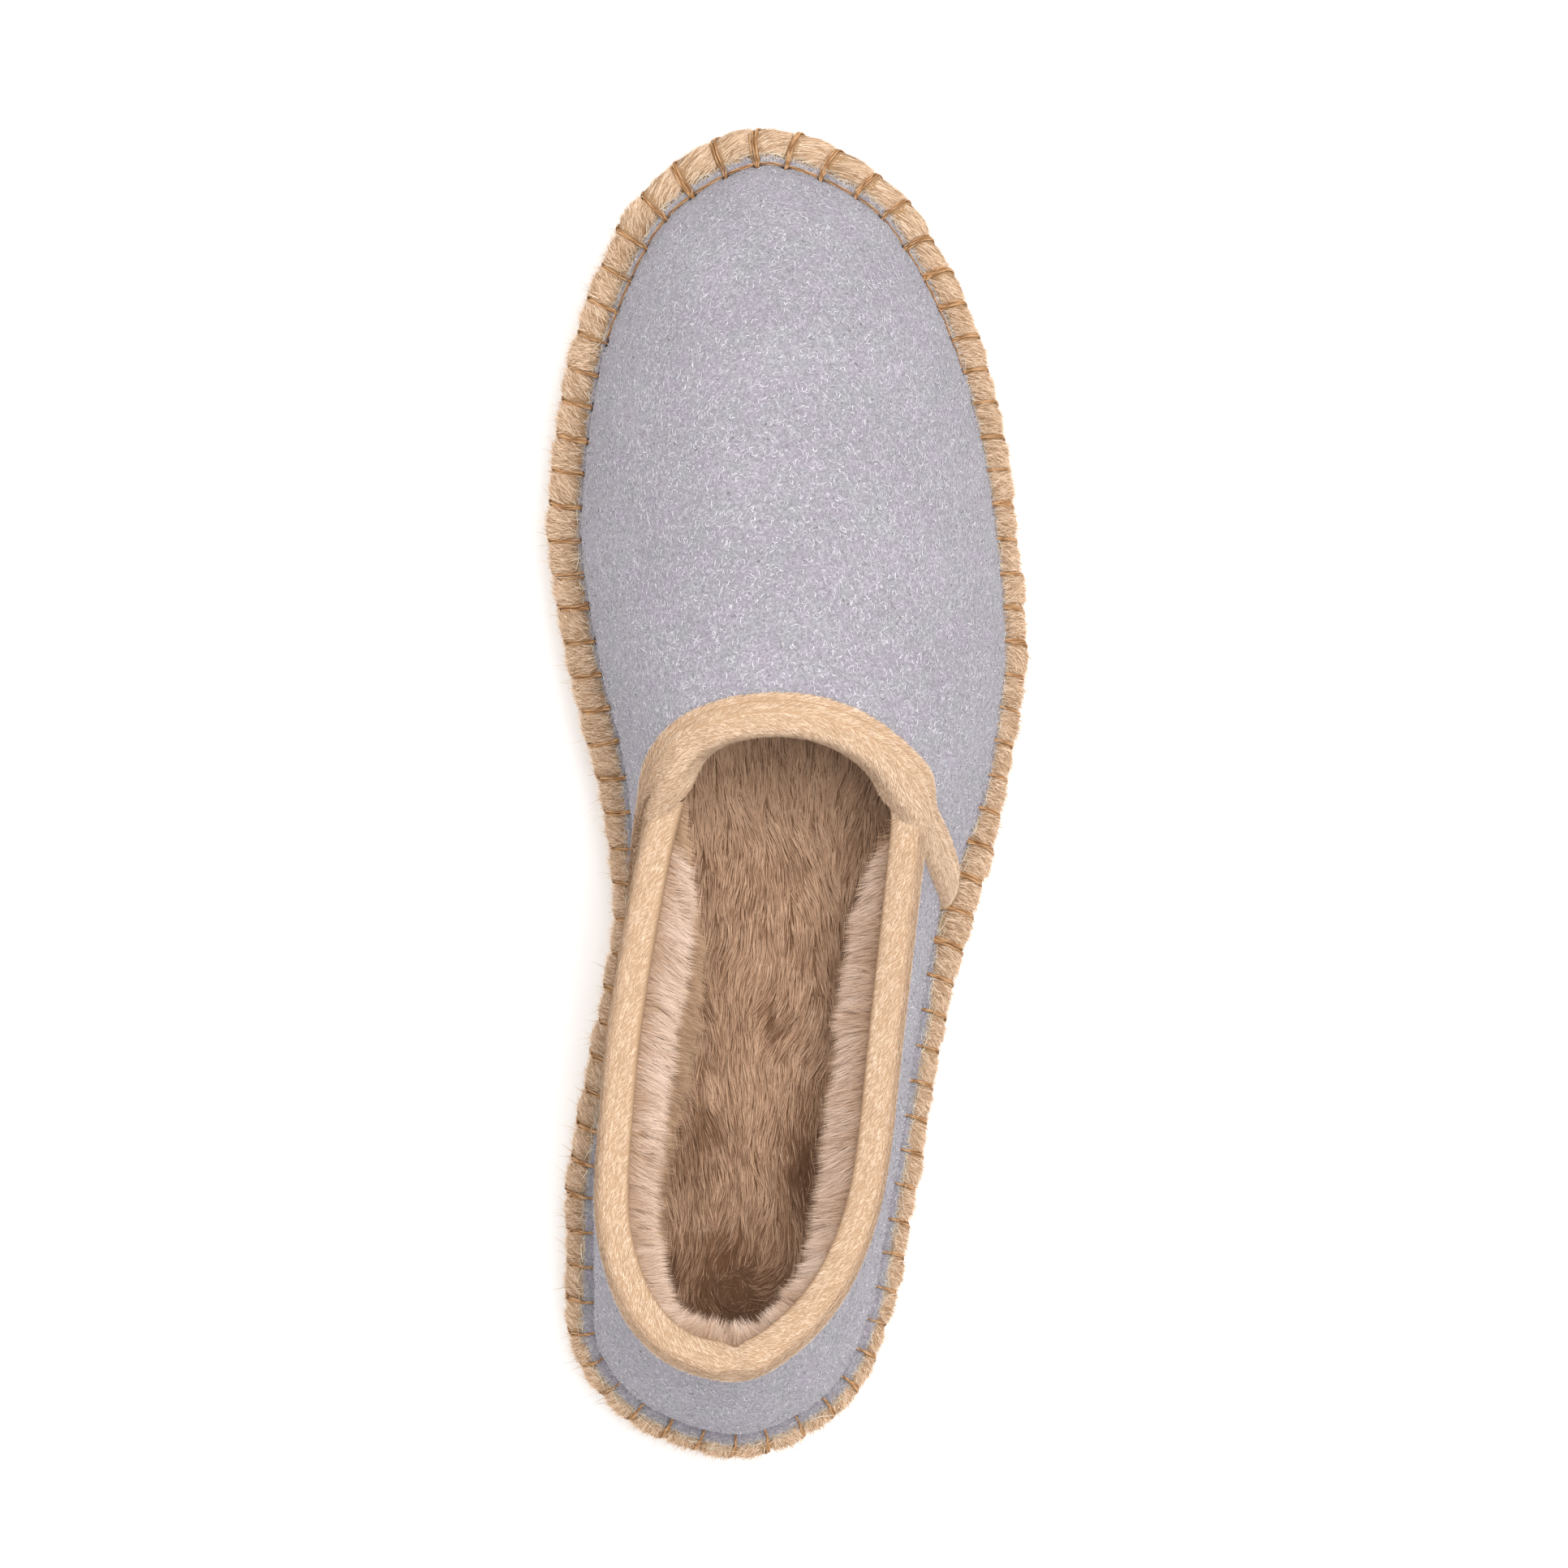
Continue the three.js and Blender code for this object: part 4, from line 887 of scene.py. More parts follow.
def build_upper(settings):
    """The hollow upper: flange, outer face with its swell and puckers, rim, and inner face."""
    u = even_places(0, ROWS, 1.9, lambda x: face_point(x, 0.0))[:-1]
    u = np.unique(np.concatenate([
        u, [VAMP_START, VAMP_START + STEP_WIDTH, VAMP_END - STEP_WIDTH, VAMP_END],
        np.linspace(VAMP_START, VAMP_START + 1.5, 12), np.linspace(VAMP_END - 1.5, VAMP_END, 12),
    ]))
    out = np.where((u > VAMP_START) & (u < VAMP_END), lap_at(u), 0.0)
    outward = edge_outward(u)
    foot = face_point(u, 0.0)
    reach = flange_reach(u)
    seam = foot + outward * out[:, None]
    low = foot + outward * reach[:, None]
    low[:, 2] = SOLE_TOP + spring_at(low[:, 1]) + GAP
    high = low + [0, 0, EDGE_THICKNESS]
    middle = (seam + low) / 2
    middle[:, 2] = low[:, 2] + 1.3
    crease = seam + outward * 0.15
    crease[:, 2] = foot[:, 2] + 1.25
    levels = FACE_LEVELS
    cap = v_from_top(u, trim_at(u))[:, None]
    outside = shell(
        u[:, None], levels[None] * cap, np.broadcast_to(out[:, None], (len(u), len(levels))))
    stitches = stitch_places(settings.stitch_pitch / MM)
    gap = np.min(np.abs((u[:, None] - stitches[None] + ROWS / 2) % ROWS - ROWS / 2), axis=1)
    pull = np.exp(-((gap / PUCKER_REACH) ** 2))[:, None]
    pull = pull * np.exp(-((levels / PUCKER_HEIGHT) ** 2))[None]
    normal = face_normal(u[:, None], levels[None] * cap)
    swell = SWELL_DEPTH * ripple(outside, SWELL_SIZE, 2) * np.sin(math.pi * levels)[None]
    swell = swell - PUCKER_DEPTH * pull
    drawn = DRAWN_DEPTH * ripple(outside, DRAWN_SIZE, 9)
    drawn = drawn * np.exp(-((levels - 0.05) / 0.14) ** 2)[None]
    outside = outside + normal * (swell + drawn)[..., None]
    inner_levels = levels[::-4]
    inside = shell(
        u[:, None], inner_levels[None] * cap, np.full((len(u), len(inner_levels)), -UPPER_WALL))
    heel = (foot - outward * UPPER_WALL)[:, None]
    grid = np.concatenate([
        low[:, None], high[:, None], middle[:, None], crease[:, None], outside, inside, heel,
    ], axis=1)
    faces = grid_faces(len(u), grid.shape[1], wrap_rows=True, wrap_cols=True, turned=True)
    made = mesh_object("suede_upper", grid.reshape(-1, 3), [faces])
    made.data.set_sharp_from_angle(angle=math.radians(50))
    give(made, napped_suede())
    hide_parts("upper")
    build_nap(grid[:, FLANGE_COLUMNS : FLANGE_COLUMNS + 1 + len(levels)], settings.nap_curls)
    build_fray(settings)


CURL_LENGTH = (0.5, 1.3)
CURL_WIDTH = (0.11, 0.18)  # real nap is finer, and this is drawn as coarse as it needs to show


def build_nap(grid, count):
    """Short pale curls of nap, spread evenly over the outside of the upper."""
    rng = np.random.default_rng(35)
    normals = -grid_normals(grid, wrap_rows=True)
    ahead = np.linalg.norm(np.roll(grid, -1, axis=0) - grid, axis=-1)[:, :-1]
    upward = np.linalg.norm(np.diff(grid, axis=1), axis=-1)
    area = (ahead * upward).ravel()
    cell = rng.choice(len(area), count, p=area / area.sum())
    cell_i, cell_j = cell // upward.shape[1], cell % upward.shape[1]
    angle = rng.uniform(0, 2 * math.pi, count)
    length = rng.uniform(*CURL_LENGTH, count)
    steps_i = length * np.cos(angle) / np.maximum(ahead[cell_i, cell_j], 0.3)
    steps_j = length * np.sin(angle) / np.maximum(upward[cell_i, cell_j], 0.3)
    lift = np.stack([
        np.full(count, 0.0), rng.uniform(0.08, 0.3, count), rng.uniform(0.0, 0.3, count)], axis=1)
    lines, facing = hugging(
        grid, normals, cell_i + rng.random(count), cell_j + rng.random(count),
        np.clip(steps_i, -3, 3), np.clip(steps_j, -3, 3), lift)
    side = unit(np.cross(facing, lines[:, 2] - lines[:, 0]))
    bend = rng.choice([-1.0, 1.0], count) * rng.uniform(0.1, 0.4, count) * length
    lines[:, 1] += side * bend[:, None]
    curl = fibre_material("suede_nap_and_highlight")
    width = rng.uniform(*CURL_WIDTH, count)
    give(strand_object("suede_nap_and_highlight", lines, facing, width, rng.random((count, 2)), 3.0), curl)


THREAD_SHARE_QUARTER = 0.2  # how many of the flange's cut ends are long cotton threads
THREAD_SHARE_VAMP = 0.08
LEAST_FLANGE = 0.15  # no thread lies where the flange is narrower than this share
THREAD_LENGTH = (2.0, 6.0)
FUZZ_LENGTH = (0.7, 2.0)
THREAD_WIDTH = (0.1, 0.2)
FUZZ_WIDTH = (0.08, 0.14)


def build_fray(settings):
    """The frayed edge of the flange: short cut fibres, and loose cotton threads, most of them at the
    quarter."""
    rng = np.random.default_rng(31)
    count = settings.fray_threads
    u = rng.choice(even_places(0, ROWS, 0.2, edge_point), count)
    outward = edge_outward(u)
    along = np.stack([-outward[:, 1], outward[:, 0], outward[:, 2]], axis=1)
    flange = column("flange", u)
    reach = flange_reach(u)
    share = np.where(vamp_depth(u) < 0.5, THREAD_SHARE_QUARTER, THREAD_SHARE_VAMP)
    threads = (rng.random(count) < share) & (flange > LEAST_FLANGE)
    inset = np.where(
        threads, rng.uniform(-0.9, 0.5, count) * (0.4 + 0.6 * flange), rng.uniform(0.2, 0.9, count))
    root = face_point(u, 0.0) + outward * (reach - inset)[:, None]
    height = np.where(threads, rng.uniform(0.45, 0.95, count), rng.uniform(0.8, 1.4, count))
    root[:, 2] = SOLE_TOP + spring_at(root[:, 1]) + GAP + height
    turn = rng.choice([-1.0, 1.0], count)
    straight = outward * rng.uniform(0.2, 1.0, count)[:, None]
    straight = straight + along * rng.normal(0, 0.9, count)[:, None]
    lengthwise = along * turn[:, None] + outward * rng.normal(0, 0.18, count)[:, None]
    way = unit(np.where(threads[:, None], lengthwise, straight))
    length = np.where(threads, rng.uniform(*THREAD_LENGTH, count), rng.uniform(*FUZZ_LENGTH, count))
    t = np.linspace(0, 1, 5)
    lines = root[:, None] + way[:, None] * (length[:, None] * t)[..., None]
    bend = np.sin(t[None] * rng.uniform(2, 6, count)[:, None] + rng.uniform(0, 6, count)[:, None])
    lines += outward[:, None] * (bend * np.where(threads, 0.4, 0.25)[:, None])[..., None]
    lines[..., 2] += rng.uniform(-0.1, 0.35, count)[:, None] * t
    facing = unit(np.array([0, 0, 1.0]) + rng.normal(0, 0.3, (count, 3)))
    width = np.where(threads, rng.uniform(*THREAD_WIDTH, count), rng.uniform(*FUZZ_WIDTH, count))
    tone = rng.random((count, 2))
    for name, some, step, material in (
        ("loose_cotton", threads, 1, "cut_cotton"), ("cut_edge", ~threads, 2, "cut_suede_fibre"),
    ):
        made = strand_object(name, lines[some][:, ::step], facing[some], width[some], tone[some], 4.0)
        give(made, fibre_material(material))


# Tape
def walk(u, v, away, distance):
    """Places reached over the last's face by going a given distance in a direction at each point."""
    parts = 10
    out_u, out_v = u.copy(), v.copy()
    step = distance / parts
    for _ in range(parts):
        here = face_point(out_u, out_v)
        tu = (face_point(out_u + 0.02, out_v) - here) / 0.02
        step_v = np.where(out_v > 0.98, -0.01, 0.01)
        tv = (face_point(out_u, out_v + step_v) - here) / step_v[..., None]
        go = away * step[..., None]
        a, b, d = (tu * tu).sum(-1), (tu * tv).sum(-1), (tv * tv).sum(-1)
        p, q = (tu * go).sum(-1), (tv * go).sum(-1)
        det = np.maximum(a * d - b * b, 1e-6)
        out_u = out_u + (p * d - q * b) / det
        out_v = np.clip(out_v + (q * a - p * b) / det, 0, 1)
    return out_u, out_v


def soften(grid, reach):
    """A grid with each column evened out along its rows over a number of rows."""
    weights = np.exp(-0.5 * (np.arange(-3 * reach, 3 * reach + 1) / reach) ** 2)
    weights /= weights.sum()
    padded = np.concatenate([
        2 * grid[:1] - grid[3 * reach : 0 : -1], grid, 2 * grid[-1:] - grid[-2 : -3 * reach - 2 : -1],
    ])
    out = np.zeros_like(grid)
    for k, weight in enumerate(weights):
        out += weight * padded[k : k + len(grid)]
    return out


def path_frames(points, normals, reach):
    """Directions at each point of a path: along it, out of the face under it, and away from the
    opening beside it, evened out over a number of rows."""
    along = unit(soften(np.gradient(points, axis=0), reach))
    out = soften(normals, reach)
    out = unit(out - along * (out * along).sum(-1, keepdims=True))
    return along, out, np.cross(out, along)


# Tape folded over an edge, from its front edge over the rim to the foot of its inner leg. On the
# outer leg: share of the width, height. Over the rim: distance from the edge, height.
OUTER_LEG = (
    (1.0, 0.2), (1.0, 0.75), (0.97, 0.98), (0.9, 1.08), (0.83, 1.02), (0.79, 0.86), (0.76, 0.84),
    (0.72, 1.12), (0.64, 1.38), (0.53, 1.55), (0.42, 1.62), (0.3, 1.62), (0.18, 1.5), (0.07, 1.3),
)
RIM_TURN = ((-0.4, 1.12), (-0.95, 0.75), (-1.4, 0.15), (-1.65, -0.6))
LEG_ACROSS = -1.65  # the inner leg hangs this far in from the edge
LEG_SHARES = (0.5, 0.85)  # its points, as shares of the way down
LEG_FOOT = ((-1.3, 0.5), (-0.4, 1.0))  # where its foot turns back: distance from the edge, further down
FOOT_SHARES = (0.3, 0.65, 1.0)  # points along its foot
FOOT_THICKNESS = 1.1
INNER_START = len(OUTER_LEG) + len(RIM_TURN)  # the inner leg's first column
SELVEDGE = 4  # the last column of the woven selvedge
GROOVE = 6  # the column where the stitching draws the tape in
RIDGE = 10  # the column along the top of the fold
RIB_PITCH = 1.3  # ribs of the woven selvedge
RIB_HEIGHT = 0.1
TAPE_STEP = 0.5  # distance between the rows of the tape's mesh
COLLAR_WIDTH = 6.3
PRESSED_PILE = 4.2  # what the inner leg lies on, below the edge
CORNER_REACH = 10.0  # run of the tape over which the throat's form changes to that of the sides
CORNER_EXTRA = 0.28  # how much wider the tape is at the inner corner, and over which distance
CORNER_RUN = 4.5
OUTER_LESS = 2.1  # how much narrower it is down the outer side
TUCK = 5.0  # length of the collar tape under the vamp tape at each end
TUCK_DROP = 2.3  # how far it sinks there
TUCK_INSIDE = 1.6  # and how far it draws back from the opening
TUCK_SPACING = 0.2  # millimetres between the places from which the tucked ends are counted
HEEL_PLEAT = 0.05  # place of the pleat, in ribs from the middle of the heel
# The pleat: a crease with a fold beside it on each side. Height, width, distance from the crease
CREASE = (-0.55, 2.4, 0.0)
FOLD = (0.25, 2.0, 4.4)
PLEAT_DEPTH = 1.3


def tape_lap(u, at):
    """The lap that the tape lies on at a place, for a tape that starts on the vamp."""
    within = np.clip(at, VAMP_START + STEP_WIDTH, VAMP_END - STEP_WIDTH)
    return np.where(vamp_depth(u) >= 0, lap_at(within), 0)


def fold_grid(u, v, frames, width, depth, inner):
    """Tape folded over an edge: out over the face by width, over the rim and down inside, where its
    foot reaches back under the edge by inner."""
    edge = face_point(u, v)
    _, out, away = frames
    rows = []
    for share, high in OUTER_LEG:
        a, b = walk(u, v, away, width * share)
        rows.append(shell(a, b, tape_lap(u, a) + high))
    lap = tape_lap(u, u)
    for across, high in RIM_TURN:
        rows.append(edge + away * across + out * (lap + high)[:, None])
    for share in LEG_SHARES:
        rows.append(edge + away * LEG_ACROSS - out * (depth * share)[:, None])
    for across, down in LEG_FOOT:
        rows.append(edge + away * across - out * (depth + down)[:, None])
    for share in FOOT_SHARES:
        rows.append(edge + away * (inner * share)[:, None] - out * (depth + FOOT_THICKNESS)[:, None])
    rows.append(edge + away * inner[:, None] - out * depth[:, None])
    return np.stack(rows, axis=1)


def vamp_path(spacing):
    """The vamp's rear edge: up the inner side, round the throat and down the outer side."""
    side = even_places(0.05, 1.0, spacing, lambda x: face_point(VAMP_START, x))
    other = even_places(1.0, 0.05, spacing, lambda x: face_point(VAMP_END, x))
    throat = even_places(VAMP_START, VAMP_END, spacing, lambda x: face_point(x, 1.0))
    u = np.concatenate([
        np.full(len(side) - 1, VAMP_START), throat, np.full(len(other) - 1, VAMP_END)])
    v = np.concatenate([side[:-1], v_from_top(throat, trim_at(throat)), other[1:]])
    return u, v, len(side) - 1, len(side) - 2 + len(throat)


PILE_ROW = 0.95  # distance between the pile's rows
STREAK_LENGTH = 1.6  # patches of one tone in the pile
STREAK_WIDTH = 0.7
PLUSH_WIDTH = (0.09, 0.16)
PLUSH_SPREAD = (0.7, 1.3)  # share of the pile's length that each hair has
PLUSH_LEAN = (0.38, 0.2)  # angle away from the ridge and how much it varies, in radians
STITCH_HALF = 0.18  # half the width of the bare line where the tape is sewn down


def plush(name, grid, count, seed, spacing, length):
    """Short pile on tape. It lies along the tape and leans to both sides of a ridge along it."""
    rng = np.random.default_rng(seed)
    normals = -grid_normals(grid)
    last = INNER_START + 1.5
    steps = np.linalg.norm(np.diff(grid[len(grid) // 2], axis=0), axis=1)
    run = np.concatenate([[0], np.cumsum(steps)])
    groove = run[GROOVE]
    across = rng.uniform(run[1], np.interp(last, np.arange(len(run)), run), count)
    i = rng.uniform(0, len(grid) - 1, count)
    ridge = run[RIDGE]
    way = np.where(across < ridge, -1.0, 1.0)
    long = rng.uniform(*PLUSH_SPREAD, count) * length
    angle = way * rng.normal(*PLUSH_LEAN, count)
    steps_i = long * np.cos(angle) / spacing
    end = across + long * np.sin(angle)
    clear = np.minimum((across - groove) * way, (end - groove) * way) > STITCH_HALF
    clear |= np.maximum((across - groove) * way, (end - groove) * way) < -STITCH_HALF
    across, end, i, steps_i, way = (values[clear] for values in (across, end, i, steps_i, way))
    count = len(across)
    j = np.interp(across, run, np.arange(len(run)))
    steps_j = np.interp(end, run, np.arange(len(run))) - j
    lift = np.stack([
        np.full(count, -0.05), rng.uniform(0.1, 0.25, count), rng.uniform(0.05, 0.5, count)], axis=1)
    lines, facing = hugging(grid, normals, i, j, steps_i, steps_j, lift, wrap_rows=False)
    rows = 0.5 + 0.5 * np.sin(across / PILE_ROW * 2 * math.pi + 0.6 * np.sin(i * spacing / 2.1))
    streak = np.random.default_rng(seed + 1).random((2000, 40))
    streak_i = np.floor(i * spacing / STREAK_LENGTH).astype(int) % len(streak)
    streak_j = np.floor(across / STREAK_WIDTH).astype(int) % streak.shape[1]
    tone = np.clip(0.45 * rng.random(count) + 0.3 * streak[streak_i, streak_j] + 0.25 * rows, 0, 1)
    width = rng.uniform(*PLUSH_WIDTH, count)
    tone = np.stack([tone, rng.random(count)], axis=1)
    return strand_object(name, lines, facing, width, tone, 3.0)


def build_vamp_tape(settings, ground, pile):
    """The tape over the vamp's rear edge, from the inner side round the throat to the outer side."""
    spacing = TAPE_STEP
    u, v, first, last = vamp_path(spacing)
    index = np.arange(len(u))
    turn = CORNER_REACH / spacing
    throat = smooth((index - first) / turn) * smooth((last - index) / turn)
    frames = path_frames(face_point(u, v), face_normal(u, v), 7)
    corner = CORNER_EXTRA * np.exp(-(((index - first) * spacing / CORNER_RUN) ** 2))
    outer_leg = OUTER_LESS * smooth(((index - last) * spacing + 9.0) / 12.0)
    width = settings.tape_width / MM * (1.04 - 0.1 * (1 - throat) + corner)
    width = width - trim_at(u) * throat - outer_leg
    depth, inner = 0.9 + PRESSED_PILE * throat, 0.2 + PRESSED_PILE * throat
    grid = soften(fold_grid(u, v, frames, width, depth, inner), 5)
    ribs = RIB_HEIGHT * np.sin(2 * math.pi * index * spacing / RIB_PITCH)
    grid[:, 1 : SELVEDGE + 1] -= (grid_normals(grid) * ribs[:, None, None])[:, 1 : SELVEDGE + 1]
    faces = grid_faces(*grid.shape[:2], wrap_cols=True, turned=True)
    made = mesh_object("vamp_tape", grid.reshape(-1, 3), [faces])
    give(made, ground)
    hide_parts("vamp_binding")
    give(plush("vamp_tape_pile", grid, settings.tape_hairs, 41, spacing, 1.2), pile)


def build_collar_tape(settings, ground, pile):
    """The tape over the quarter's topline, tucked under the vamp tape at both ends, with a pleat."""
    spacing = TAPE_STEP
    tuck = int(TUCK / TUCK_SPACING)
    start = even_places(
        VAMP_END - 1.5, VAMP_END, TUCK_SPACING, lambda x: face_point(x, 1.0))[-tuck]
    end = even_places(
        VAMP_START, VAMP_START + 1.5, TUCK_SPACING, lambda x: face_point(x, 1.0))[tuck]
    u = even_places(start, end + ROWS, spacing, lambda x: face_point(x, 1.0))
    v = np.ones(len(u))
    index = np.arange(len(u))
    sink = 1 - smooth((np.minimum(index, index[::-1]) * spacing - 2.0) / 5.0)
    frames = path_frames(face_point(u, v), face_normal(u, v), 5)
    width = np.full(len(u), COLLAR_WIDTH)
    grid = fold_grid(u, v, frames, width, PRESSED_PILE - 0.6 * sink, np.full(len(u), 4.5))
    drop = np.where(np.arange(grid.shape[1]) < INNER_START, 1, 0.2)[None, :, None]
    grid -= (frames[1] * (TUCK_DROP * sink)[:, None])[:, None] * drop
    grid += (frames[2] * (TUCK_INSIDE * sink)[:, None])[:, None]
    grid = soften(grid, 5)
    run = (u - ROWS - HEEL_PLEAT) * np.linalg.norm(face_point(0.5, 1.0) - face_point(-0.5, 1.0))
    pleat = 0.0
    for high, wide, at in (CREASE, FOLD):
        pleat = pleat + high * np.exp(-(((np.abs(run) - at) / wide) ** 2))
    inward = smooth((np.arange(grid.shape[1]) - 7) / 7.0)[None, :, None]
    grid[:, :-4] -= (grid_normals(grid) * inward * PLEAT_DEPTH * pleat[:, None, None])[:, :-4]
    faces = grid_faces(*grid.shape[:2], wrap_cols=True, turned=True)
    made = mesh_object("collar_tape", grid.reshape(-1, 3), [faces])
    give(made, ground)
    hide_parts("collar_binding")
    give(plush("collar_tape_pile", grid, settings.tape_hairs, 43, spacing, 1.3), pile)


def build_tape(settings):
    """Both plush tapes, of one ground and one pile."""
    ground, pile = soft_ground("plush_tape"), fibre_material("plush_pile")
    build_vamp_tape(settings, ground, pile)
    build_collar_tape(settings, ground, pile)


# Fur

# How much further the lining swells out in the quarter: place round the last, millimetres
LINING_SWELL = np.array([
    (0.0, 2.6), (1.5, 1.0), (4.0, 0.4), (7.0, 0.8), (17.0, 2.8), (20.0, 2.8), (21.5, 1.2),
    (23.0, 1.4), (24.0, 2.6)])
LINING_TOP = 3.0  # where the fur starts, down from the topline
LINING_FOOT = 0.1  # where it ends, as v of the last's face
TIER = 0.45  # share of the way down where the lower tier starts, darker with painted shade
TUFT_WIDTH = 1.9
VAMP_HAIRS = 0.22  # how dense the hairs are in the vamp, as a share of the quarter's
UPPER_LENGTH = 4.8  # of the hairs at the rolled edge, and below it
LOWER_LENGTH = 6.2
LINING_SPREAD = (0.62, 1.1)
LINING_DROOP = (0.2, 0.42)  # how far the tips hang, as shares of the hair's length
LINING_WIDTH = (0.08, 0.15)


def build_lining(settings):
    """The lining's fur: a rolled pale edge under the tape, and hairs below that reach further in,
    darker with painted shade, as are those inside the vamp."""
    u = even_places(0, ROWS, 2.2, lambda x: face_point(x, 1.0))[:-1]
    levels = np.linspace(0, 1, 16)
    top = v_from_top(u, LINING_TOP)
    quarter = 1 - smooth(vamp_depth(u) + 0.6)
    v = LINING_FOOT + (top - LINING_FOOT)[:, None] * (1 - levels)[None]
    swell = np.interp(u, LINING_SWELL[:, 0], LINING_SWELL[:, 1])
    rounding = np.sin(np.clip(levels * 3.2, 0, 1) * math.pi / 2)[None]
    roll = 1.2 + (2.3 + (2.4 + swell) * quarter)[:, None] * rounding
    inner_front = (u < 9) * smooth((face_point(u, 1.0)[:, 1] + 75) / 45)
    tier = quarter * (1.3 + 1.4 * inner_front)
    depth = LINING_OUT + roll + tier[:, None] * smooth((levels - TIER) / 0.3)[None]
    grid = shell(u[:, None], v, -depth)
    floor = SOLE_TOP + spring_at(grid[..., 1]) + FOOTBED_TOP
    grid[..., 2] = np.maximum(grid[..., 2], floor - 0.5)
    faces = grid_faces(len(u), grid.shape[1], wrap_rows=True, turned=True)
    made = mesh_object("lining_hide", grid.reshape(-1, 3), [faces])
    give(made, soft_ground("lining_hide"))
    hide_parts("fur_lining")
    rng = np.random.default_rng(51)
    count = settings.lining_hairs
    weight = VAMP_HAIRS + (1 - VAMP_HAIRS) * quarter
    seg = np.linalg.norm(np.roll(grid[:, 0], -1, axis=0) - grid[:, 0], axis=1) * weight
    run = np.concatenate([[0], np.cumsum(seg)])
    i = np.interp(rng.random(count) * run[-1], run, np.arange(len(run)))
    level = rng.random(count) ** 1.25
    uu = np.interp(i, np.arange(len(u) + 1), np.append(u, u[0] + ROWS))
    share = 1 - smooth(vamp_depth(uu) + 0.6)
    root = sample(grid, i, level * (len(levels) - 1), True)
    inward = -face_normal(uu, np.full(count, 0.8))
    inward[:, 2] *= 0.3
    wave = ripple(root, 17, 53, 2)
    tufts = np.random.default_rng(52).uniform(-1, 1, (4000, 4))
    edge_run = np.interp(i, np.arange(len(run)), run) + 1.2 * ripple(root, 5, 54, 2)
    tier_of = np.floor(level * 2.99).astype(int)
    tuft = tufts[(np.floor(edge_run / TUFT_WIDTH).astype(int) + 1300 * tier_of) % len(tufts)]
    low = level > TIER
    way = inward + np.array([0, 0, 1.0]) * np.where(low, -0.25, 0.5 - 0.9 * level)[:, None]
    way[:, 1] -= np.abs(inward[:, 0]) * (0.42 + 0.3 * wave) + 0.3 * tuft[:, 0]
    way[:, 2] += 0.2 * tuft[:, 1]
    way = unit(way + rng.normal(0, 0.1, (count, 3)))
    length = np.where(low, LOWER_LENGTH, UPPER_LENGTH + 0.9 * level) * (0.75 + 0.25 * share)
    length = length * rng.uniform(*LINING_SPREAD, count)
    length *= 1 + 0.13 * tuft[:, 2]
    t = np.linspace(0, 1, 3)
    lines = root[:, None] + way[:, None] * (length[:, None] * t)[..., None]
    lines[..., 2] -= (length * rng.uniform(*LINING_DROOP, count))[:, None] * t**2
    floor = SOLE_TOP + spring_at(lines[..., 1]) + FOOTBED_TOP
    lines[..., 2] = np.maximum(lines[..., 2], floor + 0.3)
    facing = unit(np.array([0, 0, 0.9]) + inward * 0.7 + rng.normal(0, 0.12, (count, 3)))
    # Painted shade in the groove between the tape and the fur: the hairs nearest the tape are darker
    groove_shade = np.exp(-((level / 0.07) ** 2))
    tone = 0.8 * rng.random(count) + 0.14 + 0.15 * wave + 0.16 * tuft[:, 3] - 0.45 * groove_shade
    tone = np.stack([np.clip(tone, 0, 1), rng.random(count)], axis=1)
    width = rng.uniform(*LINING_WIDTH, count)
    # The lower tier and the vamp's lining get the shaded copy of the fur: painted shade
    pale = ~low & (share > 0.5)
    for name, some, material in (
        ("lining_pile", pale, "lining_fur"), ("shaded_lining_pile", ~pale, "shaded_lining_fur"),
    ):
        made = strand_object(name, lines[some], facing[some], width[some], tone[some])
        give(made, fibre_material(material))


FOOTBED_INSET = 0.7  # slack between the footbed and the upper's wall
SWIRL = (-11.5, -104.0)  # middle of the heel's swirl, across and along
SWIRL_REACH = 11
CELL = 2.6  # size of the tufts that lean together
FOOTBED_LENGTH = (3.6, 6.6)
FOOTBED_DROOP = 0.3
FOOTBED_HAIR = (0.11, 0.21)  # width of the hairs
TUFT_PULL = 0.26  # how far the tips of a tuft draw together
# Where hairs are drawn: what shows through the collar and throat
SHOWN_ALONG = (-118, 42)
SHOWN_ACROSS = (-45, 35)
# Tufts drawn in their roots' colour, a painted shade where they part: across, along, reach, depth
DARK_TUFTS = (
    (-12.5, -103.0, 6.0, 1.6), (3.0, -77.0, 4.5, 1.1), (-9.0, -112.0, 9.0, 0.5),
    (-25.0, -98.0, 3.5, 0.6), (-20.0, -70.0, 4.0, 0.4), (-2.0, -46.0, 3.0, 0.5))


def within_outline(outline, x, y):
    """Which places lie inside a closed outline seen from above."""
    inside = np.zeros(len(x), bool)
    for a, b in zip(outline, np.roll(outline, -1, axis=0)):
        crosses = (a[1] > y) != (b[1] > y)
        inside ^= crosses & (x < (b[0] - a[0]) * (y - a[1]) / (b[1] - a[1] + 1e-12) + a[0])
    return inside


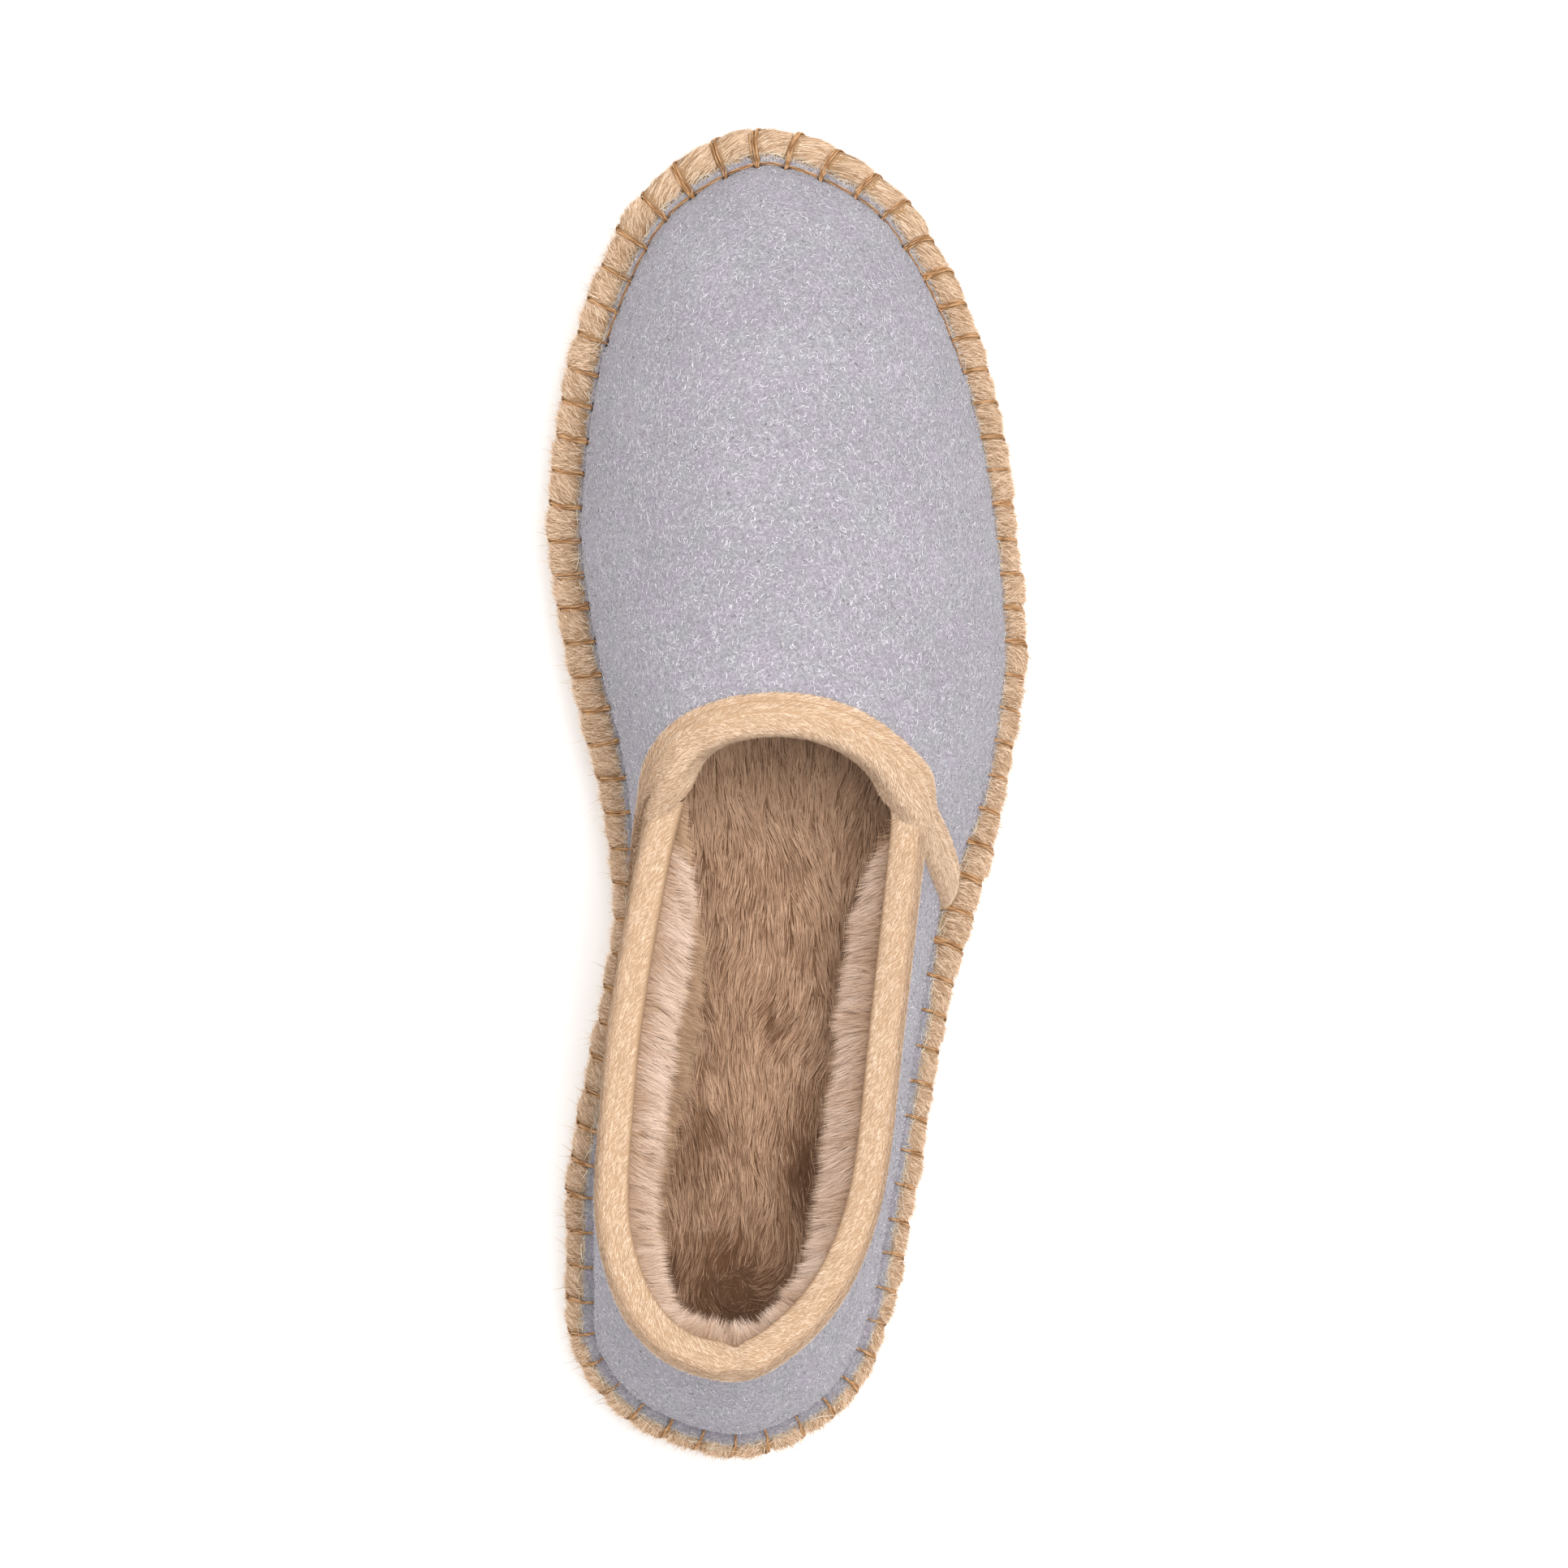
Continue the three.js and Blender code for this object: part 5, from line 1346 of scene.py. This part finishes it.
def build_insole(settings):
    """The fur footbed: hairs lie along the foot in waves and turn in a swirl under the heel."""
    u = even_places(0, ROWS, 4.0, edge_point)[:-1]
    v = np.full(len(u), 0.12)
    rim = shell(u, v, np.full(len(u), -LINING_OUT - FOOTBED_INSET))
    rim[:, 2] = SOLE_TOP + spring_at(rim[:, 1]) + FOOTBED_TOP - 1.0
    rings = [rim]
    axis_y = np.clip(rim[:, 1], -0.4 * SOLE_LENGTH, 0.4 * SOLE_LENGTH)
    middle = stack(AXIS_ACROSS * BALL_WIDTH - 3, axis_y, 0.0)
    for share in (0.25, 0.5, 0.75, 1.0):
        ring = rim + (middle - rim) * share
        ring[:, 2] = SOLE_TOP + spring_at(ring[:, 1]) + FOOTBED_TOP - 0.9
        rings.append(ring)
    foot = rim.copy()
    foot[:, 2] = SOLE_TOP + spring_at(foot[:, 1]) + GAP
    grid = np.stack([foot] + rings, axis=1)
    faces = grid_faces(len(u), grid.shape[1], wrap_rows=True, turned=True)
    made = mesh_object("insole_hide", grid.reshape(-1, 3), [faces])
    give(made, soft_ground("insole_hide"))
    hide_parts("fur_insole")
    rng = np.random.default_rng(61)
    count = settings.insole_hairs
    y = rng.uniform(*SHOWN_ALONG, count * 3)
    x = rng.uniform(*SHOWN_ACROSS, count * 3)
    inside = within_outline(rim, x, y)
    x, y = x[inside][:count], y[inside][:count]
    count = len(x)
    cell_x, cell_y = np.floor(x / CELL).astype(int), np.floor(y / CELL).astype(int)
    table = np.random.default_rng(62).uniform(-1, 1, (64, 64, 4))
    pick = table[cell_x % 64, cell_y % 64]
    place = stack(x, y, 0.0)
    angle = -math.pi / 2 + 0.35 * ripple(place, 46, 63) + 0.25 * ripple(place, 15, 64)
    angle = angle + 0.2 * pick[:, 2]
    dx, dy = x - SWIRL[0], y - SWIRL[1]
    far = np.hypot(dx, dy)
    turn = np.arctan2(dy, dx) + math.pi * 0.7 + 0.5 * ripple(place, 9, 66) + 0.35 * pick[:, 2]
    blend = 0.85 * np.exp(-((far / (SWIRL_REACH + 3 * ripple(place, 12, 67))) ** 2))
    way = stack(
        np.cos(angle) * (1 - blend) + np.cos(turn) * blend,
        np.sin(angle) * (1 - blend) + np.sin(turn) * blend, 0.0)
    way = unit(way)
    way[:, 2] = 0.36 + 0.12 * pick[:, 3]
    way = unit(way)
    length = rng.uniform(*FOOTBED_LENGTH, count) * (1 - 0.2 * blend)
    root = stack(x, y, SOLE_TOP + spring_at(y) + FOOTBED_TOP - 0.6 + 0.5 * ripple(place, 14, 6))
    t = np.linspace(0, 1, 3)
    lines = root[:, None] + way[:, None] * (length[:, None] * t)[..., None]
    lines[..., 2] -= (length * FOOTBED_DROOP)[:, None] * t**2
    tuft = stack((cell_x + 0.5) * CELL, (cell_y + 0.5) * CELL, root[:, 2])
    tuft = tuft + stack(pick[:, 0], pick[:, 1], 0.0)
    tuft = tuft + way * 5.5
    pull = (TUFT_PULL * t**2)[None, :, None] * np.array([1.0, 1.0, 0.25])
    lines = lines + (tuft[:, None] - lines) * pull
    lines += rng.normal(0, 0.22, (count, 1, 3)) * t[None, :, None]
    shade = 0.5 + 0.5 * ripple(place, 26, 65)
    tone = rng.random(count) * 0.8 + 0.06 + 0.2 * shade + 0.12 * pick[:, 3]
    # Painted light: the hairs grow paler towards the front, to lift the vamp's shade under the throat
    tone = tone + 0.4 * smooth((y + 25) / 45)
    # Painted shade where the listed tufts part
    for spot_x, spot_y, reach, depth in DARK_TUFTS:
        near = np.exp(-(((x - spot_x) / reach) ** 2 + ((y - spot_y) / (1.6 * reach)) ** 2))
        tone -= depth * near * (rng.random(count) < 0.85)
    tone = np.stack([np.clip(tone, 0, 1), rng.random(count)], axis=1)
    facing = unit(np.array([0, 0, 1.0]) + rng.normal(0, 0.18, (count, 3)) + pick[:, :3] * 0.2)
    width = rng.uniform(*FOOTBED_HAIR, count)
    made = strand_object("insole_pile", lines, facing, width, tone)
    give(made, fibre_material("insole_fur"))


# Rubber sheet and stage

PEBBLES = 0.9  # to a millimetre
CLOUDS = 0.06


def crepe_rubber():
    """Natural rubber sheet, moulded with a fine pebble: cloudy tan, half dull, a little dusty."""
    material, tree = new_material("natural_rubber_sheet")
    place = add_node(tree, "ShaderNodeTexCoord").outputs["Object"]
    pebble = add_node(tree, "ShaderNodeTexVoronoi", inputs={"Vector": place, "Scale": PEBBLES / MM})
    cloud = add_node(tree, "ShaderNodeTexNoise", inputs={
        "Vector": place, "Scale": CLOUDS / MM, "Detail": 4.0})
    mixed = add_node(tree, "ShaderNodeMix", {"data_type": "RGBA"}, {
        0: cloud.outputs["Fac"], 6: linear("a9814f"), 7: linear("c49c69")})
    bump = add_node(tree, "ShaderNodeBump", inputs={
        "Strength": 0.35, "Distance": 0.15 * MM, "Height": pebble.outputs["Distance"]})
    finish_material(tree, {
        "Base Color": mixed.outputs[2], "Roughness": 0.62, "IOR": 1.52, "Normal": bump.outputs[0]})
    return material


def build_rubber():
    """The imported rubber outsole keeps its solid, and gets its material."""
    sheet = bpy.data.objects["rubber_outsole"]
    material = crepe_rubber()
    for holder in sheet.material_slots:
        holder.material = material


FLOOR_REACH = 1500
PAPER_GRAINS = 0.4  # to a millimetre
# Soft square lights: name, place and size in metres, share of the key light's power
LIGHTS = (
    ("soft_key", (0.3, 0.3, 1.45), 1.0, 1.0),
    ("left_fill", (-0.7, 0.3, 1.1), 1.0, 0.24),
    ("right_fill", (0.95, -0.1, 0.8), 0.8, 0.12),
    ("rear_fill", (0.1, -0.95, 0.8), 0.8, 0.12),
)
LIGHTS_AIM = (0, 0, 0.02)


def matt_paper():
    """Uncoated white paper: plain and matt, with a grain too faint to see."""
    material, tree = new_material("matt_white_paper")
    place = add_node(tree, "ShaderNodeTexCoord").outputs["Object"]
    grain = add_node(tree, "ShaderNodeTexNoise", inputs={"Vector": place, "Scale": PAPER_GRAINS / MM})
    bump = add_node(tree, "ShaderNodeBump", inputs={
        "Strength": 0.05, "Distance": 0.1 * MM, "Height": grain.outputs["Fac"]})
    finish_material(tree, {
        "Base Color": linear("fafafa"), "Roughness": 0.9, "Specular IOR Level": 0.1,
        "Normal": bump.outputs[0]})
    return material


def build_stage(settings):
    """White floor, an even bright room and four soft lights."""
    far = FLOOR_REACH
    points = [[-far, -far, 0], [far, -far, 0], [far, far, 0], [-far, far, 0]]
    floor = mesh_object("paper_floor", np.array(points, float), [np.array([[0, 1, 2, 3]])], False)
    floor.data.materials.append(matt_paper())
    world = bpy.data.worlds.new("studio_room")
    bpy.context.scene.world = world
    world.use_nodes = True
    world.node_tree.nodes["Background"].inputs["Color"].default_value = linear("ffffff")
    world.node_tree.nodes["Background"].inputs["Strength"].default_value = settings.room_light
    for name, place, size, share in LIGHTS:
        light = bpy.data.lights.new(name, "AREA")
        light.energy = share * settings.key_light
        light.size = size
        lamp = bpy.data.objects.new(name, light)
        bpy.context.scene.collection.objects.link(lamp)
        lamp.location = place
        aim = Vector(LIGHTS_AIM) - Vector(place)
        lamp.rotation_euler = aim.to_track_quat("-Z", "Y").to_euler()
    bpy.context.scene.view_settings.view_transform = "Standard"
    bpy.context.scene.view_settings.look = "None"
    build_camera(settings)


SENSOR = 36.0
LENS = 117.7


def build_camera(settings):
    """The photograph's view: from above, a little to the inner side, with all of the shoe in it."""
    lens = bpy.data.cameras.new("photo_camera")
    lens.sensor_width = SENSOR
    lens.lens = LENS
    camera = bpy.data.objects.new("photo_camera", lens)
    bpy.context.scene.collection.objects.link(camera)
    place = Vector(settings.camera_place)
    back = (place - Vector(settings.camera_aim)).normalized()
    right = Vector((0, 1, 0)).cross(back).normalized()
    turned = Matrix((right, back.cross(right), back)).transposed().to_4x4()
    camera.matrix_world = Matrix.Translation(place) @ turned
    bpy.context.scene.camera = camera


# Settings
class SlipperSole(bpy.types.PropertyGroup):
    stitch_pitch: FloatProperty(
        name="Stitch pitch", description="Distance between blanket stitches along the sole's side",
        default=7.4 * MM, unit="LENGTH")
    jute_fibres: IntProperty(
        name="Jute fibres", description="Combed fibres laid over the jute sole", default=56000, min=0)


class SlipperUpper(bpy.types.PropertyGroup):
    stitch_pitch: FloatProperty(
        name="Stitch pitch", description="Distance between the stitches that pull at the upper's foot",
        default=7.4 * MM, unit="LENGTH")
    nap_curls: IntProperty(
        name="Nap curls", description="Short curls standing up from the suede", default=36000, min=0)
    fray_threads: IntProperty(
        name="Fray threads", description="Cut fibres and threads along the flange", default=7000, min=0)


class SlipperTape(bpy.types.PropertyGroup):
    tape_width: FloatProperty(
        name="Vamp tape width", description="Width of the plush tape seen on the vamp",
        default=8.5 * MM, unit="LENGTH")
    tape_hairs: IntProperty(
        name="Tape hairs", description="Short hairs on each plush tape", default=31000, min=0)


class SlipperFur(bpy.types.PropertyGroup):
    lining_hairs: IntProperty(
        name="Lining hairs", description="Hairs of the lining inside the upper", default=50000, min=0)
    insole_hairs: IntProperty(
        name="Insole hairs", description="Hairs of the fur footbed", default=50000, min=0)


class SlipperStage(bpy.types.PropertyGroup):
    room_light: FloatProperty(
        name="Room light", description="Strength of the white room round the shoe", default=0.77, min=0)
    key_light: FloatProperty(
        name="Key light", description="Power of the broad light above, in watts", default=20.0, min=0)
    camera_place: FloatVectorProperty(
        name="Camera place", description="Where the photograph was taken from",
        default=(-48.7 * MM, 0.3 * MM, 1100 * MM), subtype="TRANSLATION", unit="LENGTH")
    camera_aim: FloatVectorProperty(
        name="Camera aim", description="Point in the middle of the picture",
        default=(-1.0 * MM, 2.0 * MM, 20.0 * MM), subtype="TRANSLATION", unit="LENGTH")


# Operators
class SLIPPER_OT_rubber(bpy.types.Operator):
    """Give the rubber outsole its natural sheet rubber"""

    bl_idname = "slipper.rubber"
    bl_label = "Rubber outsole"

    def execute(self, context):
        build_rubber()
        return {"FINISHED"}


class SLIPPER_OT_jute(bpy.types.Operator):
    """Plait the jute sole and lay its combed fibres"""

    bl_idname = "slipper.jute"
    bl_label = "Jute sole"

    def execute(self, context):
        build_jute(context.scene.slipper_sole)
        return {"FINISHED"}


class SLIPPER_OT_upper(bpy.types.Operator):
    """Build the suede upper, its nap and its frayed edge"""

    bl_idname = "slipper.upper"
    bl_label = "Suede upper"

    def execute(self, context):
        build_upper(context.scene.slipper_upper)
        return {"FINISHED"}


class SLIPPER_OT_stitches(bpy.types.Operator):
    """Sew the blanket stitches and pierce their holes"""

    bl_idname = "slipper.stitches"
    bl_label = "Blanket stitches"

    def execute(self, context):
        build_stitches(context.scene.slipper_sole)
        return {"FINISHED"}


class SLIPPER_OT_tape(bpy.types.Operator):
    """Fold the plush tapes over the vamp's edge and the topline"""

    bl_idname = "slipper.tape"
    bl_label = "Plush tapes"

    def execute(self, context):
        build_tape(context.scene.slipper_tape)
        return {"FINISHED"}


class SLIPPER_OT_fur(bpy.types.Operator):
    """Grow the fur of the lining and of the footbed"""

    bl_idname = "slipper.fur"
    bl_label = "Fur"

    def execute(self, context):
        build_lining(context.scene.slipper_fur)
        build_insole(context.scene.slipper_fur)
        return {"FINISHED"}


class SLIPPER_OT_stage(bpy.types.Operator):
    """Set the floor, lights and camera"""

    bl_idname = "slipper.stage"
    bl_label = "Stage"

    def execute(self, context):
        build_stage(context.scene.slipper_stage)
        return {"FINISHED"}


class SLIPPER_PT_build(bpy.types.Panel):
    """Settings and build steps of the slipper"""

    bl_label = "Slipper"
    bl_space_type = "VIEW_3D"
    bl_region_type = "UI"
    bl_category = "Slipper"

    def draw(self, context):
        for group in GROUPS:
            box = self.layout.box()
            for name in GROUPS[group].__annotations__:
                box.prop(getattr(context.scene, group), name)
        for step in STEPS:
            self.layout.operator(step.bl_idname)


GROUPS = {
    "slipper_sole": SlipperSole,
    "slipper_upper": SlipperUpper,
    "slipper_tape": SlipperTape,
    "slipper_fur": SlipperFur,
    "slipper_stage": SlipperStage,
}
STEPS = (
    SLIPPER_OT_rubber, SLIPPER_OT_jute, SLIPPER_OT_upper, SLIPPER_OT_stitches,
    SLIPPER_OT_tape, SLIPPER_OT_fur, SLIPPER_OT_stage,
)


def register():
    for name, group in GROUPS.items():
        bpy.utils.register_class(group)
        setattr(bpy.types.Scene, name, PointerProperty(type=group))
    for kind in STEPS + (SLIPPER_PT_build,):
        bpy.utils.register_class(kind)


def unregister():
    for kind in (SLIPPER_PT_build,) + STEPS[::-1]:
        bpy.utils.unregister_class(kind)
    for name, group in GROUPS.items():
        delattr(bpy.types.Scene, name)
        bpy.utils.unregister_class(group)


def main():
    """Registers the settings and steps, and builds every piece in turn."""
    register()
    bpy.ops.slipper.rubber()
    bpy.ops.slipper.jute()
    bpy.ops.slipper.upper()
    bpy.ops.slipper.stitches()
    bpy.ops.slipper.tape()
    bpy.ops.slipper.fur()
    bpy.ops.slipper.stage()


if __name__ == "__main__":
    main()
